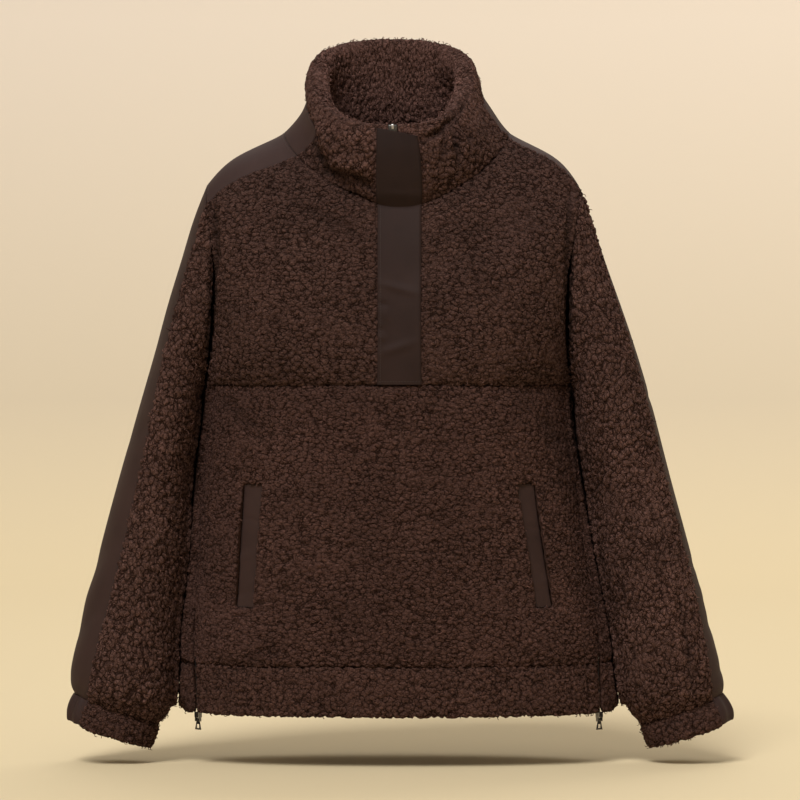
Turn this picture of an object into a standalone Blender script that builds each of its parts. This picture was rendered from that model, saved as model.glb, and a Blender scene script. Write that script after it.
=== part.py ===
"""Quarter-zip sherpa fleece, filled out as if worn, built panel by panel.

The wearer faces -Y, so the wearer's left is +X. The origin lies between the shoulders, at the
level of the neck seam. Each cloth piece is a block of cells of one shared grid of seam lines,
given its real thickness, so that neighbours meet along the same seam.
"""

import math

import bmesh
import bpy
import numpy as np
from mathutils import Matrix, Vector

MM = 0.001  # tables are in millimetres, the model is in metres

# Cloth
SEAM_HALF_GAP = 0.17  # each piece stops this far from the seam line
COLLAR_SEAM_HALF_GAP = 0.25
FUR = 8.0  # sherpa: knitted backing and pile
FUR_AT_SEAM = 5.0  # pile pressed down where it is sewn
FUR_UNDER_FLY = 6.0
WOVEN = 2.0
FLY = 2.2
FLY_LIFT = 1.4  # the fly's top end stands off the collar
WELT = 3.5
LAY_ON = 0.3  # a piece that lies on another starts this far above it

# Zips
CHAIN_HALF_WIDTH = 3.0
CHAIN_THICK = 3.0
CHAIN_HALF_SLOT = 3.3
SLIDER_HALF_SLOT = 5.5
ZIP_X = -3.5  # the front zip lies a little to the wearer's right of the fly's middle
FLY_EDGE = {1: 24.0, -1: 25.3}  # from the centre line, wearer's left and right
FLY_STEP = 4.5  # the pile stands up again this far outside the fly

# Seam grid: cells from centre front to centre back on one side
FRONT_CELLS, SIDE_CELLS, BACK_CELLS = 9, 8, 7
HALF = FRONT_CELLS + SIDE_CELLS + BACK_CELLS
COLUMNS = 2 * HALF
EDGE_FRONT, EDGE_BACK = FRONT_CELLS, FRONT_CELLS + SIDE_CELLS
WELT_COLUMN = 6
UNDERARM_COLUMN = 20  # the sleeve's seam, counting round from the strip's back edge

# Rows of the grid from hem to neck
LOWER_Z = (-640, -632, -594, -586, -578, -550, -522, -488, -453, -419, -384, -350, -316, -284, -275)
BAND_ROW, WELT_LOW_ROW, WELT_HIGH_ROW = 3, 6, 10
CHEST_ROW = len(LOWER_Z) - 1
UNDERARM_DROP = {CHEST_ROW - 1: 21.0, CHEST_ROW - 2: 11.0, CHEST_ROW - 3: 3.0}
ARMHOLE_STEPS = (0, 0.035, 0.165, 0.30, 0.44, 0.58, 0.72, 0.86, 1.0)
SHOULDER_ROW = CHEST_ROW + len(ARMHOLE_STEPS) - 1
# The shoulder line from armhole to neck, as shares of its run outwards and of its drop
SHOULDER_LINE = {"run": (0, 0.129, 0.313, 0.546, 0.90, 1.0), "rise": (0, 0.24, 0.48, 0.66, 0.90, 1.0)}
NECK_ROW = SHOULDER_ROW + len(SHOULDER_LINE["run"]) - 1
CENTRE_STEPS = (0, 0.035, 0.10, 0.18, 0.26, 0.34, 0.42, 0.50, 0.58, 0.67, 0.76, 0.86, 0.965, 1.0)
ZIP_TOP_ROW = 5  # the side zips end at this row

# Body sections: inner face of the cloth at each height
SECTION_POWER = 2.3
BODY = {
    "z": (-640, -586, -550, -517, -461, -404, -348, -300, -275),
    "half_width": (237, 236, 234, 228, 219, 212, 206, 200, 199),
    "front": (106, 108, 112, 115, 118, 120, 121, 121, 120),
    "back": (106, 107, 109, 110, 109, 107, 105, 104, 103),
    "seam_depth": (44, 43, 42, 41, 38, 35, 32, 29, 28),  # side seam, forward of the middle
}
# Where the front's columns lie, as a share of the way to the side seam
FRONT_SHARES = {
    "chest": (0.28, 0.42, 0.54, 0.657, 0.773, 0.93),
    "hem": (0.28, 0.43, 0.58, 0.733, 0.805, 0.94),
    "collar": (0.28, 0.41, 0.53, 0.64, 0.76, 0.88),
}
BACK_SHARES = (0.92, 0.76, 0.60, 0.44, 0.28, 0.14)

# Profiles from the chest seam's level up to the neck seam
CENTRE_FRONT = {"z": (-275, -225, -175, -125, -95, -79), "depth": (-120, -119.5, -116, -107, -98, -92)}
CENTRE_BACK = {"z": (-275, -210, -140, -70, -15, 24), "depth": (103, 104, 103, 97, 86, 74)}

NECK = {"half_width": 126, "front": 92, "back": 74, "z_front": -79, "z_side": 8, "z_back": 24, "power": 2.2}
STRIP_AT_NECK = {1: (20, 58), -1: (50, 38)}  # depth of the strip's front and back edge
STRIP_AT_ARMHOLE = {1: (36, 60), -1: (56, 46)}
# The garment hangs a little to the wearer's right: how far at each height
LEAN = {
    "z": (-700, -640, -600, -550, -461, -404, -348, -275, -235, -178, -120, -66, -20, 8),
    "body": (0, 1.5, 3, 5, 9, 12.5, 14.5, 13.5, 12.4, 10.7, 8.5, 9, 6, 4.5),
    "arm": (0, 0, 4, 6, 5.5, 6.4, 5.5, 4, 2.3, 3, 3, 6, 5, 4.5),
}

ARMHOLE = {"z": -165.5, "half_height": 115.5, "front": 70, "back": 68, "top_power": 3.0, "low_power": 2.0}
ARMHOLE_X = {"z": (-281, -240, -180, -120, -80, -50), "x": (207, 200, 197, 199, 205, 207.5)}
UNDERARM_HALF = 28

# Sleeve rings below the armhole: body side and outer side of each, and half its depth
SLEEVE = {
    "inner_x": (215.5, 217.5, 219.4, 220.8, 222.8, 226.2, 230.5, 236.6, 244.2, 252.3, 255, 258, 267, 275,
                279, 283, 286),
    "inner_z": (-286, -296, -309, -323, -343, -373, -411, -459, -509, -559, -598, -625, -642, -652, -660,
                -670, -678),
    "outer_x": (223, 236, 252, 267.5, 283, 296, 310, 324, 337.5, 351, 360.5, 365, 366, 363, 368, 374, 373),
    "outer_z": (-88, -132, -178, -230, -282, -330, -382, -434, -486, -537, -577, -600, -613, -621, -628,
                -640, -649),
    "half_depth": (74, 77, 79, 79, 77, 75, 72, 69, 66, 62, 57, 52, 44, 37, 39, 41, 40),
    "centre_y": (0, 0, 0, 0, -1, -2, -4, -7, -10, -13, -15, -16, -17, -18, -18, -18, -18),
}
SLEEVE_POWER = 2.15
CUFF_RING = 14  # counting the armhole as ring 0
# Strip edges round the sleeve, in degrees from its outermost line
STRIP_FRONT = {
    1: (33, 36, 38, 40, 42, 42, 42, 42, 43, 45, 48, 50, 52, 53, 53, 53, 53),
    -1: (55, 59, 63, 66, 68, 69, 69, 69, 68, 66, 62, 59, 57, 56, 56, 56, 56),
}
STRIP_BACK = {
    1: (47, 51, 54, 56, 57, 57, 57, 57, 56, 54, 52, 50, 49, 48, 48, 48, 48),
    -1: (38, 37, 36, 35, 34, 34, 34, 34, 35, 37, 40, 43, 45, 46, 46, 46, 46),
}
UNDERARM_ANGLES = (157, 155, 153, 151, 149, 147, 145, 145, 145, 145, 145, 145, 145, 145, 145, 145, 145)
GATHER = 3.2  # depth of the elastic's gathers in the woven part of the cuff

# Collar levels, middle of its folded thickness
COLLAR = {
    "centre_x": (-4, -3, -2, -5, -8, -9, -9, -9, -9),
    "half_width": (126, 116, 106, 98, 90, 86, 85, 85, 85),
    "front": (92, 99, 105, 109, 111, 110, 109, 108, 107.5),
    "back": (74, 73, 72, 72, 71, 70, 69.5, 69, 69),
    "z_front": (-79, -69, -52, -35, -19, -7, 1, 6, 9),
    "z_side": (8, 18, 32, 47, 60, 69, 77, 82, 85),
    "z_back": (24, 37, 55, 73, 90, 103, 112, 117, 120),
    "outside": (6.0, 8.5, 9.0, 9.5, 10.5, 11.0, 10.5, 8.5, 5.0),
    "inside": (6.0, 8.0, 9.5, 11.0, 12.0, 12.5, 12.0, 9.5, 5.0),
    "zip_x": (-3.5, -3.6, -4.2, -5.2, -6.2, -7.2, -7.8, -8.2, -8.4),
    "fly_left": (24.0, 23.8, 23.0, 22.0, 20.4, 18.0, 16.6, 16.0, 15.6),
}
COLLAR_ROWS = len(COLLAR["front"])
PRESSED_AT_ZIP = 0.72
STRIP_TOP = 3  # the woven strip ends under the roll, at this level
FRONT_DIP_POWER = (1.5, 2.5)  # how squarely the front dips, at the neck and at the rim
BACK_DIP_POWER = 2.3

# Collar levels of the fly's last rows, so that its top slopes down to the wearer's left
FLY_TOP = {COLUMNS - 1: (4, 5, 6, 7), 0: (4, 5, 5.8, 6.5), 1: (4, 4.5, 4.9, 5.3)}

# Soft folds: each runs from one point to another in the front view, in a side of the body
FOLDS = (
    {"face": -1, "start": (-196, -560), "end": (-150, -590), "height": 3.5, "width": 13},
    {"face": -1, "start": (120, -300), "end": (176, -372), "height": 3.0, "width": 20},
    {"face": -1, "start": (-128, -310), "end": (-176, -400), "height": -3.0, "width": 22},
    {"face": -1, "start": (60, -120), "end": (150, -95), "height": 3.0, "width": 16},
    {"face": -1, "start": (-70, -430), "end": (-60, -560), "height": -2.5, "width": 26},
    {"face": -1, "start": (70, -410), "end": (84, -570), "height": -2.5, "width": 26},
    {"face": 1, "start": (-150, -300), "end": (-60, -380), "height": 3.5, "width": 24},
    {"face": 1, "start": (150, -290), "end": (70, -390), "height": 3.5, "width": 24},
    {"face": 1, "start": (-20, -420), "end": (-34, -590), "height": -4.0, "width": 30},
    {"face": 1, "start": (110, -430), "end": (124, -590), "height": 3.0, "width": 28},
    {"face": 1, "start": (-120, -440), "end": (-138, -590), "height": 3.0, "width": 28},
    {"face": 1, "start": (-60, -60), "end": (60, -70), "height": -3.0, "width": 20},
)
# Sleeve folds: ring and angle of the middle, with how far each reaches
SLEEVE_FOLDS = {
    1: (
        {"ring": 7.0, "angle": 110, "height": -4.0, "rings": 0.9, "degrees": 50},
        {"ring": 8.3, "angle": 120, "height": 3.5, "rings": 0.8, "degrees": 55},
        {"ring": 10.5, "angle": 66, "height": 4.0, "rings": 3.0, "degrees": 11},
        {"ring": 10.0, "angle": -110, "height": -3.5, "rings": 1.0, "degrees": 50},
        {"ring": 12.0, "angle": -80, "height": 3.0, "rings": 0.8, "degrees": 60},
    ),
    -1: (
        {"ring": 6.6, "angle": 115, "height": -3.5, "rings": 0.9, "degrees": 50},
        {"ring": 9.4, "angle": 120, "height": -3.0, "rings": 1.0, "degrees": 50},
        {"ring": 11.8, "angle": 95, "height": 3.0, "rings": 0.8, "degrees": 45},
        {"ring": 7.5, "angle": -115, "height": -4.0, "rings": 0.9, "degrees": 50},
        {"ring": 10.8, "angle": -90, "height": 3.0, "rings": 1.0, "degrees": 60},
    ),
}
# Collar folds: how far round from centre front and how far up the middle lies
COLLAR_FOLDS = (
    {"angle": -40, "level": 1.4, "height": -5.0, "degrees": 24, "levels": 0.9},
    {"angle": -44, "level": 3.6, "height": 4.0, "degrees": 22, "levels": 1.3},
    {"angle": 68, "level": 3.4, "height": -2.5, "degrees": 13, "levels": 2.2},
    {"angle": 46, "level": 2.6, "height": 3.0, "degrees": 13, "levels": 2.0},
    {"angle": 20, "level": 0.8, "height": -3.0, "degrees": 30, "levels": 0.8},
    {"angle": 150, "level": 2.0, "height": -3.0, "degrees": 16, "levels": 2.5},
    {"angle": -155, "level": 2.0, "height": -3.0, "degrees": 16, "levels": 2.5},
)

# Hard pieces
SLIDER = {"width": 8.0, "height": 6.2, "depth": 5.2}
EAR = {"thick": 1.3, "length": 4.4, "depth": 3.2, "inner_half": 2.7}
PIN_RADIUS, BARREL_RADIUS, BARREL_HOLE, BARREL_HALF = 0.7, 1.8, 1.0, 2.3
PIN_DROP = 2.6  # pin axis below the slider's body
PULL = {"top": 3.4, "bottom": 9.6, "length": 11.0, "thick": 1.6, "window": (5.6, 4.4), "rim": 1.7}
FRONT_SLIDER = {"width": 9.8, "height": 10.5, "depth": 6.0}
FRONT_PULL = {"width": 6.0, "thick": 1.3}

LOOKS = {
    "sherpa": ((0.055, 0.030, 0.022), 0.95, 0.0),
    "woven": ((0.042, 0.029, 0.026), 0.75, 0.0),
    "zip": ((0.030, 0.024, 0.022), 0.55, 0.0),
    "metal": ((0.30, 0.30, 0.31), 0.35, 1.0),
}


def clear_scene():
    for obj in list(bpy.data.objects):
        bpy.data.objects.remove(obj)


def collection(name):
    made = bpy.data.collections.new(name)
    bpy.context.scene.collection.children.link(made)
    return made


def material(piece, look):
    """The piece's own material, in one of the four finishes."""
    color, roughness, metallic = LOOKS[look]
    made = bpy.data.materials.new(piece)
    made.use_nodes = True
    shader = made.node_tree.nodes["Principled BSDF"]
    shader.inputs["Base Color"].default_value = (*color, 1)
    shader.inputs["Roughness"].default_value = roughness
    shader.inputs["Metallic"].default_value = metallic
    return made


def smooth(at, places, values):
    """A smooth curve through a table's values, by cubic pieces."""
    x, y = np.array(places, float), np.array(values, float)
    slope = np.gradient(y, x)
    k = int(np.clip(np.searchsorted(x, at) - 1, 0, len(x) - 2))
    step = x[k + 1] - x[k]
    t = min(max((at - x[k]) / step, 0), 1)
    return float(
        (2 * t**3 - 3 * t**2 + 1) * y[k]
        + (t**3 - 2 * t**2 + t) * step * slope[k]
        + (3 * t**2 - 2 * t**3) * y[k + 1]
        + (t**3 - t**2) * step * slope[k + 1]
    )


def signed_power(value, power):
    return math.copysign(abs(value) ** power, value)


def oval(angle, half_width, front, back, power):
    """A section's point. The angle is 0 at centre front, 90 degrees at the side and 180 at the back."""
    depth = front if math.cos(angle) > 0 else back
    return (
        half_width * signed_power(math.sin(angle), 2 / power),
        -depth * signed_power(math.cos(angle), 2 / power),
    )


def angle_at_x(x, half_width, power):
    share = min(abs(x) / half_width, 1)
    return math.copysign(math.asin(share ** (power / 2)), x)


def angle_at_depth(depth, reach, power):
    return math.acos(min(depth / reach, 1) ** (power / 2))


def near_centre(side, zip_x=ZIP_X, edge=None, step=FLY_STEP):
    """The columns beside the zip, which keep their distance from it: zip, fly's edge, full pile."""
    edge = edge or FLY_EDGE[side]
    return [side * zip_x, edge, edge + step]


def lower_row(side, z):
    """One side of the body's section at a height, centre front to centre back."""
    width, front, back, depth = (
        smooth(z, BODY["z"], BODY[key]) for key in ("half_width", "front", "back", "seam_depth")
    )
    p = SECTION_POWER
    edge = angle_at_depth(depth, front, p)
    edge_x = oval(edge, width, front, back, p)[0]
    down = (LOWER_Z[-1] - z) / (LOWER_Z[-1] - LOWER_Z[0])
    shares = [a + (b - a) * down for a, b in zip(FRONT_SHARES["chest"], FRONT_SHARES["hem"])]
    angles = [angle_at_x(x, width, p) for x in near_centre(side) + [s * edge_x for s in shares]]
    rear = math.pi - angle_at_depth(depth, back, p)
    angles += list(np.linspace(edge, rear, SIDE_CELLS + 1))
    rear_x = oval(rear, width, front, back, p)[0]
    angles += [math.pi - angle_at_x(s * rear_x, width, p) for s in (*BACK_SHARES, 0)]
    points = [(*oval(a, width, front, back, p), z) for a in angles]
    return np.array(points)


def armhole_point(angle):
    """Angle 0 is the top and positive angles go to the front. Outer x is for the wearer's left."""
    s, c = math.sin(angle), math.cos(angle)
    power = ARMHOLE["top_power"] if c > 0 else ARMHOLE["low_power"]
    depth = ARMHOLE["front"] if s > 0 else ARMHOLE["back"]
    y = -depth * signed_power(s, 2 / power)
    z = ARMHOLE["z"] + ARMHOLE["half_height"] * signed_power(c, 2 / power)
    return np.array((smooth(z, ARMHOLE_X["z"], ARMHOLE_X["x"]), y, z))


def armhole_angles(side):
    """The strip's corners at the top and the side seam's corners at the bottom."""
    top, low = ARMHOLE["top_power"], ARMHOLE["low_power"]
    front, back = STRIP_AT_ARMHOLE[side]
    return {
        "front": math.asin((front / ARMHOLE["front"]) ** (top / 2)),
        "back": math.asin((back / ARMHOLE["back"]) ** (top / 2)),
        "low_front": math.pi - math.asin((UNDERARM_HALF / ARMHOLE["front"]) ** (low / 2)),
        "low_back": math.pi - math.asin((UNDERARM_HALF / ARMHOLE["back"]) ** (low / 2)),
    }


def along_arc(start, end, shares):
    """Armhole points between two angles, spaced by length along the arc."""
    fine = np.array([armhole_point(a) for a in np.linspace(start, end, 200)])
    length = np.concatenate([[0], np.cumsum(np.linalg.norm(np.diff(fine, axis=0), axis=1))])
    wanted = np.array(shares) * length[-1]
    return np.stack([np.interp(wanted, length, fine[:, k]) for k in range(3)], axis=1)


def armhole_sides(side):
    a = armhole_angles(side)
    even = np.linspace(0, 1, SIDE_CELLS + 1)
    return {
        "top": along_arc(a["front"], -a["back"], even),
        "front": along_arc(a["low_front"], a["front"], ARMHOLE_STEPS),
        "back": along_arc(-a["low_back"], -a["back"], ARMHOLE_STEPS),
        "bottom": along_arc(a["low_front"], 2 * math.pi - a["low_back"], even),
    }


def dip_height(x, half_width, centre, side, power):
    """Height on a ring that is lowest or highest at the centre line."""
    share = min(abs(x) / half_width, 1)
    return side + (centre - side) * (1 - share**power) ** (1 / power)


def ring_angles(side, half_width, near, centre_x, power, shares=FRONT_SHARES["chest"]):
    """Column angles round the neck or a collar level. The columns near the zip keep their own x."""
    edge = angle_at_depth(STRIP_AT_NECK[side][0], NECK["front"], NECK["power"])
    rear = math.pi - angle_at_depth(STRIP_AT_NECK[side][1], NECK["back"], NECK["power"])
    centre = [angle_at_x(x - side * centre_x, half_width, power) for x in near]
    first = centre[-1]
    start = angle_at_x(FLY_EDGE[side] + FLY_STEP, NECK["half_width"], power)
    full = [angle_at_x(s * NECK["half_width"] * math.sin(edge), NECK["half_width"], power) for s in shares]
    spread = [first + (edge - first) * (a - start) / (edge - start) for a in full]
    rear_cells = np.linspace(rear, math.pi, BACK_CELLS + 1)[1:]
    return centre + spread + list(np.linspace(edge, rear, SIDE_CELLS + 1)) + list(rear_cells)


def neck_row(side):
    p = NECK["power"]
    width = NECK["half_width"]
    points = []
    for a in ring_angles(side, width, near_centre(side), 0, p):
        x, y = oval(a, width, NECK["front"], NECK["back"], p)
        if y < 0:
            z = dip_height(x, width, NECK["z_front"], NECK["z_side"], FRONT_DIP_POWER[0])
        else:
            z = dip_height(x, width, NECK["z_back"], NECK["z_side"], BACK_DIP_POWER)
        points.append((x, y, z))
    return np.array(points)


def profile(table, steps, x):
    low, high = table["z"][0], table["z"][-1]
    heights = [low + (high - low) * s for s in steps]
    return np.array([(x, smooth(z, table["z"], table["depth"]), z) for z in heights])


def coons(bottom, top, first, last):
    """A patch between four edges. bottom and top run from first to last."""
    def shares(edge):
        length = np.concatenate([[0], np.cumsum(np.linalg.norm(np.diff(edge, axis=0), axis=1))])
        return length / length[-1]

    u = ((shares(bottom) + shares(top)) / 2)[:, None, None]
    v = ((shares(first) + shares(last)) / 2)[None, :, None]
    ruled = (1 - v) * bottom[:, None] + v * top[:, None] + (1 - u) * first[None] + u * last[None]
    corners = (1 - u) * (1 - v) * bottom[0] + u * (1 - v) * bottom[-1]
    corners = corners + (1 - u) * v * top[0] + u * v * top[-1]
    return ruled - corners


def strip_edge(start, end):
    run, rise = (np.array(SHOULDER_LINE[key]) for key in ("run", "rise"))
    shares = np.stack([run, run, rise], axis=1)
    return start + (end - start) * shares


def half_body(side):
    """One side of the body's inner face: columns from centre front to centre back, rows from hem to neck."""
    grid = np.zeros((HALF + 1, NECK_ROW + 1, 3))
    for row, z in enumerate(LOWER_Z):
        grid[:, row] = lower_row(side, z)
    reach = np.clip(np.abs(np.arange(HALF + 1) - (EDGE_FRONT + EDGE_BACK) / 2) / SIDE_CELLS, 0, 1)
    for row, drop in UNDERARM_DROP.items():
        grid[:, row, 2] -= drop * np.cos(reach * math.pi / 2) ** 2
    arm = armhole_sides(side)
    neck = neck_row(side)
    grid[EDGE_FRONT : EDGE_BACK + 1, CHEST_ROW] = arm["bottom"]
    grid[EDGE_FRONT - 1, CHEST_ROW, 2] = (LOWER_Z[-1] + arm["bottom"][0][2]) / 2
    grid[EDGE_BACK + 1, CHEST_ROW, 2] = (LOWER_Z[-1] + arm["bottom"][-1][2]) / 2
    fronts = strip_edge(arm["front"][-1], neck[EDGE_FRONT])
    backs = strip_edge(arm["back"][-1], neck[EDGE_BACK])
    upper = slice(CHEST_ROW, NECK_ROW + 1)
    grid[: EDGE_FRONT + 1, upper] = coons(
        grid[: EDGE_FRONT + 1, CHEST_ROW],
        neck[: EDGE_FRONT + 1],
        profile(CENTRE_FRONT, CENTRE_STEPS, side * ZIP_X),
        np.concatenate([arm["front"], fronts[1:]]),
    )
    grid[EDGE_BACK:, upper] = coons(
        grid[EDGE_BACK:, CHEST_ROW],
        neck[EDGE_BACK:],
        np.concatenate([arm["back"], backs[1:]]),
        profile(CENTRE_BACK, CENTRE_STEPS, 0),
    )
    grid[EDGE_FRONT : EDGE_BACK + 1, SHOULDER_ROW:] = coons(
        arm["top"], neck[EDGE_FRONT : EDGE_BACK + 1], fronts, backs
    )
    for row in (CHEST_ROW - 2, CHEST_ROW - 1, CHEST_ROW, CHEST_ROW + 1, CHEST_ROW + 2):
        back = grid[EDGE_BACK + 1 :, :, 1]
        back[:, row] = (back[:, row - 1] + 2 * back[:, row] + back[:, row + 1]) / 4
    keep_centre_straight(side, grid[: EDGE_FRONT + 1, CHEST_ROW + 1 : NECK_ROW])
    grid[..., 0] *= side
    return grid


def keep_centre_straight(side, front):
    """Puts the columns beside the zip back at their own x, and eases the columns outside them along."""
    near = near_centre(side)
    for row in range(front.shape[1]):
        x = front[:, row, 0]
        moved = near[-1] - x[len(near) - 1]
        x[: len(near)] = near
        x[len(near) : -1] += moved * np.linspace(1, 0, len(x) - len(near) + 1)[1:-1]


def whole(left, right):
    """Joins the two sides of a grid into one that goes all round. Column 0 is the zip."""
    return np.concatenate([left, right[-2:0:-1]], axis=0)


def body_grid():
    return whole(half_body(1), half_body(-1))


def collar_level(side, level):
    t = {key: values[level] for key, values in COLLAR.items()}
    share = level / (COLLAR_ROWS - 1)
    dip = FRONT_DIP_POWER[0] + (FRONT_DIP_POWER[1] - FRONT_DIP_POWER[0]) * share
    points = []
    p = NECK["power"]
    step = FLY_STEP + min(level, 3)
    near = near_centre(side, t["zip_x"], t["fly_left"] if side > 0 else None, step)
    for a in ring_angles(side, t["half_width"], near, t["centre_x"], p, FRONT_SHARES["collar"]):
        x, y = oval(a, t["half_width"], t["front"], t["back"], p)
        centre = t["z_front"] if y < 0 else t["z_back"]
        z = dip_height(x, t["half_width"], centre, t["z_side"], dip if y < 0 else BACK_DIP_POWER)
        points.append((side * x + t["centre_x"], y, z))
    return np.array(points)


def collar_grid():
    halves = [np.stack([collar_level(side, k) for k in range(COLLAR_ROWS)], axis=1) for side in (1, -1)]
    return whole(*halves)


def sleeve_grid(side):
    """Round the arm: strip from back to front, front, underarm, back. Ring 0 is the armhole."""
    arm = armhole_sides(side)
    ring = [*arm["top"][::-1], *arm["front"][-2::-1], *arm["bottom"][1:], *arm["back"][1:-1]]
    rings = [np.array(ring)]
    for k in range(len(SLEEVE["inner_x"])):
        t = {key: values[k] for key, values in SLEEVE.items()}
        front, back = STRIP_FRONT[side][k], STRIP_BACK[side][k]
        under = UNDERARM_ANGLES[k]
        down = (1 - np.array(ARMHOLE_STEPS[::-1])) * max(1 - k / 4, 0)
        down = down + np.linspace(0, 1, len(ARMHOLE_STEPS)) * min(k / 4, 1)
        degrees = [
            *np.linspace(-back, front, SIDE_CELLS + 1),
            *(front + (under - front) * down[1:]),
            *np.linspace(under, 360 - under, SIDE_CELLS + 1)[1:],
            *(360 - back - (under - back) * down[-2:0:-1]),
        ]
        inner = np.array((t["inner_x"], t["centre_y"], t["inner_z"]))
        outer = np.array((t["outer_x"], t["centre_y"], t["outer_z"]))
        middle, reach = (inner + outer) / 2, (outer - inner) / 2
        points = []
        for a in np.radians(degrees):
            depth = -t["half_depth"] * signed_power(math.sin(a), 2 / SLEEVE_POWER)
            points.append(middle + reach * signed_power(math.cos(a), 2 / SLEEVE_POWER) + (0, depth, 0))
        rings.append(np.array(points))
    grid = np.stack(rings, axis=1)
    grid[..., 0] *= side
    return grid


def ease(value, start, end):
    t = np.clip((value - start) / (end - start), 0, 1)
    return t * t * (3 - 2 * t)


def lean_over(grid):
    """Shifts the sides towards the wearer's right. The centre front stays where it is."""
    x, z = np.abs(grid[..., 0]), grid[..., 2]
    body, arm = (np.interp(z, LEAN["z"], LEAN[key]) for key in ("body", "arm"))
    grid[..., 0] -= ease(x, 30, 170) * (body + (arm - body) * ease(x, 215, 290))


def normals_of(grid, keep):
    """Vertex normals of a grid that closes round its columns. keep(column, row) says which cells count."""
    columns, rows = grid.shape[:2]
    total = np.zeros_like(grid)
    for i in range(columns):
        n = (i + 1) % columns
        for j in range(rows - 1):
            if not keep(i, j):
                continue
            across = np.cross(grid[n, j + 1] - grid[i, j], grid[i, j + 1] - grid[n, j])
            for corner in ((i, j), (n, j), (n, j + 1), (i, j + 1)):
                total[corner] += across
    return unit(total)


def in_armhole(column, row):
    if not CHEST_ROW <= row < SHOULDER_ROW:
        return False
    half = column if column < HALF else COLUMNS - 1 - column
    return EDGE_FRONT <= half < EDGE_BACK


def unit(vectors):
    return vectors / np.maximum(np.linalg.norm(vectors, axis=-1, keepdims=True), 1e-9)


def armhole_normals(points, across):
    """Between body and sleeve at the top, straight out from the armhole's middle in the underarm crease."""
    depth = np.where(points[:, 1] < 0, ARMHOLE["front"], ARMHOLE["back"])
    up = (points[:, 2] - ARMHOLE["z"]) / ARMHOLE["half_height"]
    radial = unit(np.stack([0 * up, 0.9 * points[:, 1] / depth, up], axis=1))
    share = ease(-up, -0.2, 0.6)[:, None]
    return unit(radial * share + unit(across) * (1 - share))


def smoothed(normals, passes, rows_too=True):
    """Evens out normals round the ring, and up and down, so that neighbouring walls don't twist."""
    for _ in range(passes):
        total = 2 * normals + np.roll(normals, 1, axis=0) + np.roll(normals, -1, axis=0)
        if rows_too:
            total[:, 1:-1] += normals[:, :-2] + normals[:, 2:]
        normals = unit(total)
    return normals


def gauss(value):
    return math.exp(-value * value)


def fold_body(grid, normals):
    """Moves the body's face in and out along its soft folds."""
    for fold in FOLDS:
        a, b = np.array(fold["start"], float), np.array(fold["end"], float)
        along = b - a
        for i in range(grid.shape[0]):
            for j in range(1, grid.shape[1] - 1):
                p = grid[i, j]
                at_side = EDGE_FRONT <= min(i, COLUMNS - i) <= EDGE_BACK and CHEST_ROW <= j <= SHOULDER_ROW
                if p[1] * fold["face"] <= 0 or j in (BAND_ROW, CHEST_ROW) or at_side:
                    continue
                t = np.clip((p[[0, 2]] - a) @ along / (along @ along), 0, 1)
                away = np.linalg.norm(p[[0, 2]] - a - t * along)
                grid[i, j] += normals[i, j] * fold["height"] * gauss(away / fold["width"])


def fold_sleeve(side, grid, normals):
    strip = np.arange(SIDE_CELLS + 1)
    middle = (grid[:, :, :].min(axis=0) + grid[:, :, :].max(axis=0)) / 2
    for j in range(2, grid.shape[1] - 1):
        if j == CUFF_RING:
            continue
        for i in range(grid.shape[0]):
            p = grid[i, j] - middle[j]
            angle = math.degrees(math.atan2(-p[1], side * p[0]))
            for fold in SLEEVE_FOLDS[side]:
                away = (angle - fold["angle"] + 180) % 360 - 180
                size = gauss((j - fold["ring"]) / fold["rings"]) * gauss(away / fold["degrees"])
                size *= 1 - ease(abs(angle), 130, 165)
                grid[i, j] += normals[i, j] * fold["height"] * size
    for j, depth in ((CUFF_RING, 0.7), (CUFF_RING + 1, 1.0), (CUFF_RING + 2, 0.8), (CUFF_RING + 3, 0.5)):
        for i in strip[1:-1]:
            grid[i, j] += normals[i, j] * GATHER * depth * (0.5 if i % 2 else -0.5)


def fold_collar(grid, normals):
    for i in range(grid.shape[0]):
        from_seam = min(abs(min(i, COLUMNS - i) - edge) for edge in (EDGE_FRONT, EDGE_BACK))
        calm = min(0.35 + 0.3 * from_seam, 0.25 * min(i, COLUMNS - i), 1)
        for j in range(1, grid.shape[1]):
            centre_x = COLLAR["centre_x"][j]
            angle = math.degrees(math.atan2(grid[i, j, 0] - centre_x, -grid[i, j, 1]))
            for fold in COLLAR_FOLDS:
                away = (angle - fold["angle"] + 180) % 360 - 180
                size = gauss(away / fold["degrees"]) * gauss((j - fold["level"]) / fold["levels"])
                grid[i, j] += normals[i, j] * fold["height"] * size * calm


class Surface:
    """A grid of cloth, closed round its columns, with the directions in which its thickness goes."""

    def __init__(self, grid, normals):
        self.grid, self.normals = grid, normals
        self.columns = grid.shape[0]

    def keys(self, cell):
        i, j = cell
        n = (i + 1) % self.columns
        return [(i, j), (n, j), (n, j + 1), (i, j + 1)]


def boundary_edges(surface, cells):
    """Edges with one cell of the piece, each with that cell's far side, which says where inwards is."""
    seen = {}
    for cell in cells:
        keys = surface.keys(cell)
        centre = sum(surface.grid[k] for k in keys) / 4
        for a, b in zip(keys, keys[1:] + keys[:1]):
            seen.setdefault(frozenset((a, b)), []).append((a, b, centre))
    return [found[0] for found in seen.values() if len(found) == 1]


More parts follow.
